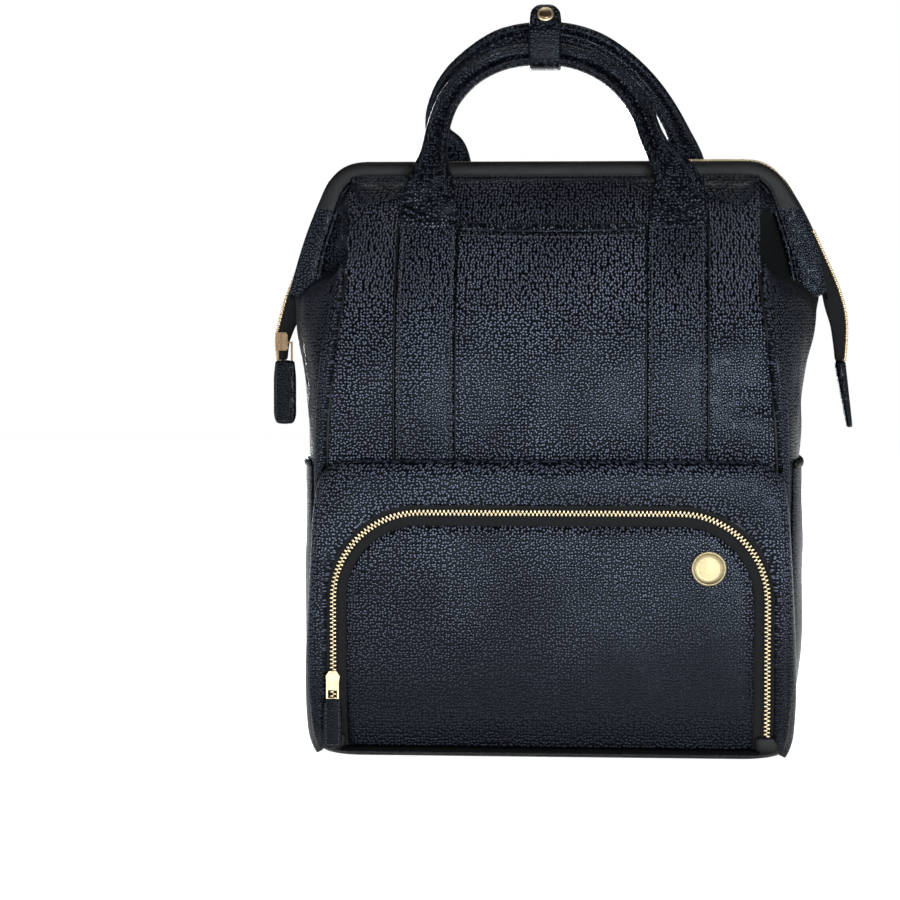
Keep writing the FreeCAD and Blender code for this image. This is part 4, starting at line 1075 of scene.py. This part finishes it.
outer_line = arch_line(150, 191, 17, 3)
inner_line = arch_line(ZIP_HALF + SURROUND_GAP, ZIP_TOP + SURROUND_GAP, ZIP_RADIUS + SURROUND_GAP, 8)
rings = []
for outer, inner in zip(outer_line, inner_line):
    sign = math.copysign(1, outer.x) if abs(outer.x) > 1e-6 else 0
    seam_x = outer.x * pocket_half(outer.z) / 150
    seam = Vector((seam_x, 0, outer.z))
    way = Vector((inner.x - seam.x, 0, inner.z - seam.z))
    reach = way.length
    way.normalize()
    puff = pocket_puff(max(outer.z, 3) if abs(outer.x) > 140 else 175)
    ends_low = eased(outer.z, 2, 22)
    ring = []
    for inwards, y in (
        (2.0, 72.5), (0.2, 79), (-0.6, 84), (-1.2, 88), (-0.8, 92), (0.8, 95.5), (3.6, 98.6)
    ):
        y = 79 + (y - 79) * (0.45 + 0.55 * ends_low)
        ring.append(seam + way * inwards + Vector((0, -y, 0)))
    for share in (0.3, 0.45, 0.6, 0.75, 0.88, 1.0):
        y = 100.0 + 0.9 * math.sin(math.pi * share) - 1.9 * eased(share, 0.8, 1.0)
        y = 79 + (y - 79) * (
            0.45 + 0.55 * eased(outer.z, 2, 22) if share < 1 else 0.62 + 0.38 * eased(outer.z, 2, 30)
        )
        p = seam + way * (reach * share)
        y += 0.5 * wander(p.x, 0, p.z, 30, 6.0)
        ring.append(Vector((p.x, -y, p.z)))
    rings.append(ring)
surround = sheet("pocket_surround_leather", rings, WRAPPED_LEATHER, 1.8, (0, -1, 0), LINING)
riding("bag", "leather", ["pocket_surround"], surround)

flap_half, flap_top, flap_radius = (size - FLAP_GAP for size in (ZIP_HALF, ZIP_TOP, ZIP_RADIUS))
flap_rows = []
steps = [9 + (flap_top - flap_radius - 9) * k / 24 for k in range(25)]
steps += [flap_top - flap_radius + flap_radius * math.sin(math.pi / 2 * k / 22) for k in range(1, 23)]
for z in steps:
    rise = max(z - (flap_top - flap_radius), 0)
    half = flap_half - flap_radius + math.sqrt(max(flap_radius**2 - rise**2, 0))
    row = []
    for k in range(-28, 29):
        x = half * math.sin(math.pi / 2 * k / 28)
        from_edge = min(half - abs(x), flap_top - z)
        depth = FLAP_FACE + 0.6 + 3.0 * (1 - math.exp(-from_edge / 3.2))
        depth += 1.6 * (1 - (x / flap_half) ** 2) * math.sin(
            math.pi * eased(z, 0, 150)
        ) + 0.5 * wander(x, 0, z, 45, 8.0)
        depth -= 7.0 * (1 - eased(z, 6, 34))
        row.append(Vector((x, -depth, z)))
    flap_rows.append(row)
floor_rows = [
    [Vector((x, y, 6.4 + 0.5 * math.sin(math.pi * k / 8))) for x in np.linspace(-133, 133, 41)]
    for k, y in enumerate(np.linspace(-77.5, -99.6, 9))
]
# The pocket floor is in the darker copy of the leather: painted shade.
pocket_floor = sheet("pocket_floor_leather", floor_rows, SHADED_LEATHER, 1.0, (0, 0, -1), BACKING_AND_PAINTED_SHADE)
riding("bag", "leather", [], pocket_floor)
flap = sheet("pocket_flap_leather", flap_rows, LEATHER, 1.9, (0, -1, 0), LINING)
riding("pocket_front", "leather", ["pocket_flap"], flap)

chain_line = arch_line(ZIP_HALF, ZIP_TOP, ZIP_RADIUS, 10)


def pocket_face(z):
    """How far forward the pocket's zip lies at a height: it tucks in near the base."""
    return FLAP_FACE - 6.5 * (1 - eased(z, 6, 34))


for label, direction, body, node in (
    ("outer", 1, "bag", "pocket_zip_outer"), ("inner", -1, "pocket_front", "pocket_zip_inner")
):
    rings, teeth = [], []
    width = 7.5 if direction > 0 else 13.0
    for p, _, normal in bearings(chain_line):
        y = pocket_face(p.z)
        shape = [
            (1.2, y + 0.4), (4, y + 0.5), (width, y + 0.3), (width, y - 0.5), (4, y - 0.5), (1.2, y - 0.5)
        ]
        rings.append(ring_at(p, normal * direction, shape, -1))
    tape = tube(f"pocket_tape_{label}", rings, TAPE, levels=0)
    for k, (p, way) in enumerate(evenly(chain_line, TOOTH_PITCH)):
        if k % 2 == (0 if direction > 0 else 1):
            normal = Vector((-way.z, 0, way.x)) * direction
            centre = p + normal * 0.85 + Vector((0, -pocket_face(p.z) - 1.0, 0))
            teeth.append((centre, normal * 1.25, way * 0.66, Vector((0, 1.0, 0))))
    chain = bent_box(f"pocket_teeth_{label}", teeth, GOLD)
    riding(body, "zip", [node], tape)
    riding(body, "gold", [], chain)

for side_name, sign in SIDES:
    block = [
        (
            Vector((sign * ZIP_HALF, -pocket_face(14) - 2.2, 13)), Vector((7.5, 0, 0)), Vector((0, 1.6, 0)),
            Vector((0, 0, 5))
        )
    ]
    end = bent_box(f"pocket_zip_end_{side_name}", block, BAND)
    riding("bag", "band", [], end)

badge_low, badge_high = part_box("badge")
badge_centre = Vector(((badge_low.x + badge_high.x) / 2, 0, (badge_low.z + badge_high.z) / 2)) / MM
badge_profile = [
    (10.6, 0.0), (10.9, 0.8), (10.9, 1.7), (10.5, 2.2), (9.9, 2.3), (9.5, 1.9), (
        9.35, 1.35
    ), (6.5, 1.5), (3.0, 1.6), (0.01, 1.65)
]
badge = lathe(
    "badge_plain", (badge_centre.x, -BADGE_FACE, badge_centre.z), (0, -1, 0), badge_profile, BADGE, 64
)
riding("pocket_front", "gold", ["badge"], badge)

# ---------------------------------------------------------------- sliders, pulls and zip tails


def metal_node(name, material=GOLD, bevel=0.3):
    """A CAD node keeps its shape and gets a metal finish and softened edges."""
    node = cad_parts[name]
    node.data.materials.clear()
    node.data.materials.append(material)
    soft = node.modifiers.new("edges", "BEVEL")
    soft.width, soft.segments, soft.limit_method, soft.angle_limit = bevel * MM, 2, "ANGLE", math.radians(
        40
    )
    return node


for name in ("pocket_slider", "pocket_pull_loop", "stroller_ring_left", "stroller_ring_right"):
    metal_node(name)
for name in ("mouth_slider", "mouth_pull_loop"):
    metal_node(name, BRONZE)
for name in ("front_frame_bar", "rear_frame_bar", "hinge_rivet_left", "hinge_rivet_right"):
    metal_node(name, STEEL)
for name in ("strap_adjuster_left", "strap_adjuster_right"):
    metal_node(name, GOLD, 0.5)


def leather_tab(name, centre, width, length, thickness, material, towards=-1):
    """A stitched leather tab that hangs from its top edge; returns the tab and its stitches."""
    x, y, top = centre
    rings = []
    for k in range(15):
        share = k / 14
        z = top - length * share
        half = width / 2 * (0.86 + 0.14 * eased(share, 0.0, 0.3)) * (
            1 - 0.55 * max(share - 0.88, 0) / 0.12 * 0.5
        )
        fat = thickness / 2 * (1.0 if 0.04 < share < 0.96 else 0.75)
        shape = [
            (-1, -0.5), (-0.93, -0.95), (0, -1.08), (0.93, -0.95), (1, -0.5), (1, 0.5), (0.93, 0.95),
            (0, 1.08), (-0.93, 0.95), (-1, 0.5)
        ]
        rings.append([Vector((x + a * half, y + b * fat, z)) for a, b in shape])
    tab = tube(f"{name}_leather", rings, material, levels=1)
    inset = width / 2 - 1.9
    line = [Vector((x - inset, 0, top - 3)), Vector((x - inset, 0, top - length + 2.6))]
    line += [Vector((x + inset, 0, top - length + 2.6)), Vector((x + inset, 0, top - 3))]
    line = [p + Vector((0, y + towards * (thickness / 2 + 0.02), 0)) for p in line]
    return tab, stitches(f"{name}_stitch", line, (0, towards, 0), 2.6, 1.9, 0.55)


for name, body in (
    ("mouth_pull_tab", "zip_pull"), ("pocket_pull_tab", "pocket_zip_pull"), ("zip_end_tab_right", "bag"),
    ("zip_end_tab_left", "bag")
):
    low, high = box_of(name)
    middle = (low + high) / 2
    if name == "zip_end_tab_right":
        rings = []
        for k in range(17):
            share = k / 16
            z = high.z + 1.5 - (high.z - low.z + 1.5) * share
            shift = 6.2 + 7.0 * share
            half_x, half_y = 4.0 - 1.9 * share, 7.4 * (1 - 0.25 * max(share - 0.85, 0) / 0.15)
            rings.append(
                [Vector((middle.x + shift + a, b, z)) for a, b in oval(2 * half_x, 2 * half_y, 14, 0.6)]
            )
        tab = tube("zip_end_tab_right_leather", rings, TAB_LEATHER)
        riding(body, "leather", [name], tab)
        continue
    tab, thread = leather_tab(
        name, (middle.x, middle.y, high.z), high.x - low.x, high.z - low.z, max(high.y - low.y, 3.2),
        TAB_LEATHER
    )
    riding(body, "leather", [name], tab, thread)

TAIL_EDGE = {
    "right": (
        (168.5, 338), (173.5, 327), (179.5, 314), (185, 301), (188.8, 289), (190.6, 278), (190.6, 266),
        (189.6, 252)
    ),
    "left": (
        (161.5, 334), (167.5, 320), (173.5, 305), (178.6, 292), (182.0, 280), (184.6, 268), (183.8, 252)
    ),
}
for side_name, sign in SIDES:
    line = through([Vector((sign * x, 0, z)) for x, z in TAIL_EDGE[side_name]], 34)
    tail_width = curve((0, 1.0), (0.2, 5.0), (0.38, 9.0), (0.55, 11.5), (0.75, 9.5), (1.0, 5.5))
    rings = []
    for i, (p, _, normal) in enumerate(bearings(line)):
        wide = tail_width(i / (len(line) - 1))
        shape = [
            (0, 1.3), (-wide / 3, 1.6), (-wide, 1.4), (-wide - 0.5, 0), (-wide, -1.4), (-wide / 3, -1.6),
            (0, -1.3)
        ]
        rings.append(ring_at(p, normal * sign, shape))
    tape = tube(f"zip_tail_tape_{side_name}", rings, TAPE, levels=1)
    riding("bag", "zip", [f"zip_tail_{side_name}"], tape)
    teeth = []
    for k, (p, way) in enumerate(evenly(line, TOOTH_PITCH)):
        normal = Vector((-way.z, 0, way.x)) * sign
        shift = 1.35 if k % 2 else -1.35
        teeth.append(
            (p + normal * 0.6 + Vector((0, shift, 0)), Vector((0, 1.55, 0)), way * 0.72, normal * 1.0)
        )
    riding("bag", "gold", [], bent_box(f"zip_tail_teeth_{side_name}", teeth, GOLD))

# ---------------------------------------------------------------- base, side pockets and lining

_, base_high = box_of("base_panel")


def round_rectangle(half_x, half_y, radius, z, count=10):
    """Points round a rectangle with rounded corners, seen from above."""
    found = []
    for turn, sx, sy in ((0, 1, 1), (90, -1, 1), (180, -1, -1), (270, 1, -1)):
        for k in range(count + 1):
            a = math.radians(turn + 90 * k / count)
            found.append(
                Vector(
                    (
                        sx * (half_x - radius) + radius * math.cos(a),
                        sy * (half_y - radius) + radius * math.sin(a), z
                    )
                )
            )
    return found


rings = []
for inset, z in ((40, 0.6), (8, 0.3), (3, 0.4), (0.8, 1.6), (-0.2, 3.4), (0.2, 5.2), (3, 6.2), (40, 6.4)):
    rings.append(
        round_rectangle(base_high.x + 1.2 - inset, base_high.y + 0.6 - inset, max(30 - inset, 3), z)
    )
base = tube("base_leather", rings, HANDLE, levels=1)
seam = swept(
    "base_piping", round_rectangle(base_high.x + 2.2, base_high.y + 1.6, 31, 4.2), oval(3.4, 3.4, 8),
    (0, 0, 1), BAND, closed=True
)
riding("bag", "leather", ["base_panel"], base)
riding("bag", "band", [], seam)
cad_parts["base_board"].data.materials.clear()
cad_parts["base_board"].data.materials.append(BOARD)

for side_name, sign in SIDES:
    low, high = box_of(f"side_pocket_{side_name}")
    half_depth = high.y + 8
    rows = []
    for k in range(34):
        z = 6 + (high.z - 6) * k / 33
        fat = 8.6 * eased(z, 2, 70) * (1 - 0.22 * eased(z, 120, 190))
        row = []
        for c in range(33):
            t = c / 16 - 1
            y = half_depth * t
            bow = (1 - abs(t) ** 3.2) ** 0.75 if abs(t) < 1 else 0
            x = 153.2 + 1.6 * z / 190 + fat * bow + 0.6 * wander(0, y, z, 34, 9.0 + sign) * bow
            row.append(Vector((sign * x, y, z)))
        rows.append(row)
    # The side pockets are in the darker copy of the leather: painted shade.
    pocket = sheet(f"side_pocket_leather_{side_name}", rows, SHADED_LEATHER, 1.5, (sign, 0, 0), LINING)
    binding = swept(f"side_pocket_binding_{side_name}", rows[-1], oval(3.2, 5.4, 10), (1, 0, 0), BAND)
    riding("bag", "leather", [f"side_pocket_{side_name}"], pocket)
    riding("bag", "band", [], binding)

low, high = box_of("lining")
rings = []
for k in range(30):
    z = low.z + 0.3 + (high.z - low.z) * k / 29
    ring = []
    for p in round_rectangle(high.x - 0.4, high.y - 0.2 - 25 * eased(z, 170, 214), 27, z, 8):
        inwards = 1 + 0.012 * wander(p.x, p.y, z, 48, 11.0) * eased(z, 20, 80)
        ring.append(Vector((p.x * (inwards - 0.004), p.y * (inwards - 0.01), z)))
    rings.append(ring)
floor_ring = [[Vector((p.x * s, p.y * s, low.z + 0.3)) for p in rings[0]] for s in (0.02, 0.5, 0.85)]
rows = [ring + ring[:1] for ring in floor_ring + rings]
pouch = sheet("lining_pouch", rows, LINING, 0.8, (0, 0, 1), levels=0)
riding("bag", "lining", ["lining"], pouch)

# ---------------------------------------------------------------- back: padded panel, shoulder straps, rings


def puffed(name, outline, near, far, cap, material, rounding=0.4):
    """A padded piece cut to an outline in (x, z), between two depths, blown up by a cloth simulation."""
    steps = 3
    depths = [near + (far - near) * k / steps for k in range(steps + 1)]
    points = [Vector((x, y, z)) for y in depths for x, z in outline]
    count = len(outline)
    faces = grid_faces(steps + 1, count, True)
    faces += [tuple(range(count))[::-1], tuple(steps * count + c for c in range(count))]
    made = outward(mesh_object(name, points, faces, material))
    remesh = made.modifiers.new("even", "REMESH")
    remesh.mode, remesh.voxel_size, remesh.use_smooth_shade = "VOXEL", 0.0045, True
    applied(made)
    made.data.materials.clear()
    made.data.materials.append(material)
    before = np.array([v.co for v in made.data.vertices])
    cloth = made.modifiers.new("cloth", "CLOTH")
    cloth.settings.use_pressure = True
    cloth.settings.uniform_pressure_force = 4.0
    cloth.settings.effector_weights.gravity = 0.0
    cloth.settings.quality = 6
    cloth.point_cache.frame_start, cloth.point_cache.frame_end = 1, 20
    for step in range(1, 21):
        bpy.context.scene.frame_set(step)
    applied(made)
    bpy.context.scene.frame_set(1)
    after = np.array([v.co for v in made.data.vertices])
    moved = after - before
    length = np.linalg.norm(moved, axis=1, keepdims=True)
    after = before + moved * np.minimum(1.0, cap * MM / np.maximum(length, 1e-9))
    made.data.vertices.foreach_set("co", after.astype(np.float32).ravel())
    relax = made.modifiers.new("relax", "SMOOTH")
    relax.factor, relax.iterations = rounding, 6
    smooth = made.modifiers.new("smooth", "SUBSURF")
    smooth.levels = smooth.render_levels = 1
    applied(made)
    for polygon in made.data.polygons:
        polygon.use_smooth = True
    return made


def rounded_outline(corners, radius, step=5.0):
    """The outline through corners in (x, z), each rounded, with points close together."""
    corners = [Vector((x, z)) for x, z in corners]
    line = []
    for i, corner in enumerate(corners):
        back = (corners[i - 1] - corner).normalized() * radius
        on = (corners[(i + 1) % len(corners)] - corner).normalized() * radius
        for k in range(7):
            t = k / 6
            line.append((corner + back).lerp(corner, t).lerp(corner.lerp(corner + on, t), t))
    found = []
    for a, b in zip(line, line[1:] + line[:1]):
        count = max(int((b - a).length / step), 1)
        found += [a.lerp(b, k / count) for k in range(count)]
    return [(p.x, p.y) for p in found]


def channel(thing, lines, depth, width, face_sign=1):
    """Presses sewn lines into a padded piece's back face; lines are ((x, z), (x, z)) in millimetres."""
    co = np.array([v.co for v in thing.data.vertices]) / MM
    normals = np.array([v.normal for v in thing.data.vertices])
    press = np.zeros(len(co))
    for (x0, z0), (x1, z1) in lines:
        start, way = np.array([x0, z0]), np.array([x1 - x0, z1 - z0], float)
        flat = co[:, [0, 2]] - start
        t = np.clip(flat @ way / (way @ way), 0, 1)
        gap = np.linalg.norm(flat - t[:, None] * way, axis=1)
        press = np.maximum(press, np.exp(-((gap / width) ** 2)))
    facing = np.clip(normals[:, 1] * face_sign, 0, 1)
    co[:, 1] -= face_sign * depth * press * facing
    thing.data.vertices.foreach_set("co", (co * MM).astype(np.float32).ravel())
    thing.data.update()


pad_low, pad_high = box_of("back_pad")
outline = rounded_outline(
    [(-94, pad_low.z + 4), (94, pad_low.z + 4), (94, pad_high.z - 4), (-94, pad_high.z - 4)], 24
)
pad = puffed("back_pad_mesh", outline, pad_low.y + 1, pad_high.y - 2.4, 2.0, MESH)
quilting = [((-94, z), (94, z)) for z in (82, 134, 186)] + [((0, pad_low.z), (0, pad_high.z))]
channel(pad, quilting, 2.6, 2.2)
riding("bag", "mesh", ["back_pad"], pad)
edge_corners = [(-98, pad_low.z), (98, pad_low.z), (98, pad_high.z), (-98, pad_high.z)]
edge = [Vector((x, pad_low.y + 1.8, z)) for x, z in rounded_outline(edge_corners, 26)]
trim = swept("back_pad_piping", edge, oval(3.6, 3.6, 8), (0, 1, 0), BAND, closed=True)
riding("bag", "band", [], trim)

# The shoulder strap's middle at its top, its bend and its foot, and its half widths.
TOP_X, BEND_X, BEND_Z, FOOT_X = 46, 58, 170, 76
WIDE, NARROW = 25, 13.5
ANCHOR_Z = 246.5

for side_name, sign in SIDES:
    corners = [(TOP_X - WIDE, 241), (TOP_X + WIDE, 241), (BEND_X + WIDE, BEND_Z)]
    corners += [(FOOT_X + NARROW, 87), (FOOT_X - NARROW, 87), (BEND_X - WIDE, BEND_Z)]
    outline = rounded_outline([(sign * x, z) for x, z in corners], 9)
    strap = puffed(f"shoulder_strap_padding_{side_name}", outline, 87.4, 95.6, 3.0, FABRIC)
    bend = (sign * BEND_X, BEND_Z)
    middle = [((sign * TOP_X, 236), bend), (bend, (sign * FOOT_X, 92))]
    channel(strap, middle, 1.6, 2.0)
    riding("bag", "strap_padding", [f"shoulder_strap_{side_name}"], strap)
    binding = ((19, 243), (73, 243), (85, 170), (91.5, 85), (60.5, 85), (31, 170))
    binding_outline = rounded_outline([(sign * x, z) for x, z in binding], 9)
    binding_line = [Vector((x, 91.4, z)) for x, z in binding_outline]
    trim = swept(
        f"shoulder_strap_binding_{side_name}", binding_line, oval(5.4, 2.6, 10), (0, 1, 0), WEBBING,
        closed=True
    )
    riding("bag", "webbing", [], trim)
    block = [
        (Vector((sign * TOP_X, 84, ANCHOR_Z)), Vector((24, 0, 0)), Vector((0, 5.0, 0)), Vector((0, 0, 8)))
    ]
    anchor = bent_box(f"shoulder_strap_anchor_{side_name}", block, HANDLE)
    crossed = ((-20, -5), (20, -5), (20, 5), (-20, 5), (-20, -5), (20, 5))
    box_line = [Vector((sign * TOP_X + a, 89.1, ANCHOR_Z + b)) for a, b in crossed]
    cross = stitches(f"shoulder_strap_anchor_stitch_{side_name}", box_line, (0, 1, 0), 3.0, 2.2, 0.6)
    riding("bag", "leather", [], anchor, cross)

    start, end = Vector((sign * 97.5, 89, 14)), Vector((sign * 74.3, 89, 86))
    run = [start.lerp(end, k / 20) for k in range(21)]
    flat = swept(f"webbing_run_{side_name}", run, oval(24.4, 1.7, 14, 0.35), (1, 0, 0), WEBBING)
    foot_block = [
        (Vector((sign * 96, 84.5, 12.5)), Vector((15, 0, 0)), Vector((0, 5.0, 0)), Vector((0, 0, 7.5)))
    ]
    foot = bent_box(f"webbing_foot_{side_name}", foot_block, HANDLE)
    riding("bag", "webbing", [f"strap_webbing_{side_name}"], flat)
    riding("bag", "leather", [], foot)

    low, high = box_of(f"ring_tab_{side_name}")
    middle = (low + high) / 2
    rings = []
    for k in range(13):
        share = k / 12
        z = low.z + (high.z - low.z) * share
        wrap = max(1 - ((z - 236) / 4.4) ** 2, 0) ** 0.5 if abs(z - 236) < 4.4 else 0
        y_top = 80.6 + 4.6 * wrap
        half = (high.x - low.x) / 2 * (1 - 0.06 * max(share - 0.8, 0) / 0.2)
        shape = [
            (-half, 79), (-half, y_top - 0.5), (-half + 0.8, y_top), (0, y_top + 0.2), (half - 0.8, y_top),
            (half, y_top - 0.5), (half, 79)
        ]
        rings.append([Vector((middle.x + a, b, z)) for a, b in shape])
    tab = tube(f"ring_tab_leather_{side_name}", rings, HANDLE, levels=1)
    riding("bag", "leather", [f"ring_tab_{side_name}"], tab)

# ---------------------------------------------------------------- floor, light and camera


def stage_material(name, colour, roughness):
    s = Shader(
        name, colour, roughness, Specular_IOR_Level=0.0, Emission_Color=(1, 1, 1, 1), Emission_Strength=0.86
    )
    mottle = s.noise(3.0, 2.0)
    s.colour(s.ramp(mottle, [(0.0, tuple(c * 0.985 for c in colour)), (1.0, colour)]))
    return s.material


floor = mesh_object(
    "floor",
    [(-4000, -4000, -0.2), (4000, -4000, -0.2), (4000, 4000, -0.2), (-4000, 4000, -0.2)],
    [(0, 1, 2, 3)],
    stage_material("pale_floor", (0.92, 0.92, 0.92), 0.6),
)
floor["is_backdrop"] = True


def area_light(name, place, aim, size, power, colour=(1, 1, 1)):
    data = bpy.data.lights.new(name, "AREA")
    data.shape, data.size, data.size_y, data.energy, data.color = "RECTANGLE", size[
        0
    ], size[1], power, colour
    lamp = bpy.data.objects.new(name, data)
    lamp.location = place
    lamp.rotation_mode = "QUATERNION"
    lamp.rotation_quaternion = (Vector(aim) - Vector(place)).to_track_quat("-Z", "Y")
    bpy.context.scene.collection.objects.link(lamp)


area_light("key", (0.55, -2.3, 0.34), (0.02, 0, 0.24), (0.9, 0.7), 80, (0.90, 0.95, 1.0))
area_light("left", (-1.7, -1.7, 0.45), (0, 0, 0.24), (0.6, 0.9), 26, (0.90, 0.95, 1.0))
area_light("right", (1.9, -0.8, 0.45), (0, 0, 0.24), (0.6, 0.9), 10, (0.90, 0.95, 1.0))
area_light("back", (-0.5, 2.4, 0.6), (0, 0, 0.22), (0.9, 0.8), 80, (0.90, 0.95, 1.0))
area_light("top", (0, 0.7, 2.2), (0, 0, 0.2), (1.0, 0.6), 14)

world = bpy.data.worlds.new("studio")
world.use_nodes = True
background = world.node_tree.nodes["Background"]
background.inputs["Color"].default_value = (1, 1, 1, 1)
rays = world.node_tree.nodes.new("ShaderNodeLightPath")
level = world.node_tree.nodes.new("ShaderNodeMapRange")
level.inputs["To Min"].default_value, level.inputs["To Max"].default_value = 0.12, 1.0
world.node_tree.links.new(rays.outputs["Is Camera Ray"], level.inputs["Value"])
world.node_tree.links.new(level.outputs["Result"], background.inputs["Strength"])
bpy.context.scene.world = world
bpy.context.scene.view_settings.view_transform = "Standard"

camera_data = bpy.data.cameras.new("camera")
camera_data.lens, camera_data.sensor_width = CAMERA_LENS, 36.0
camera_data.clip_end = 20.0
camera = bpy.data.objects.new("camera", camera_data)
azimuth, elevation = math.radians(CAMERA_AZIMUTH), math.radians(CAMERA_ELEVATION)
back = Vector(
    (math.sin(azimuth) * math.cos(elevation), -math.cos(azimuth) * math.cos(elevation), math.sin(elevation))
)
camera.location = Vector(CAMERA_AIM) + back * CAMERA_DISTANCE
camera.rotation_mode = "QUATERNION"
camera.rotation_quaternion = (-back).to_track_quat("-Z", "Y")
bpy.context.scene.collection.objects.link(camera)
bpy.context.scene.camera = camera

low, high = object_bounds()
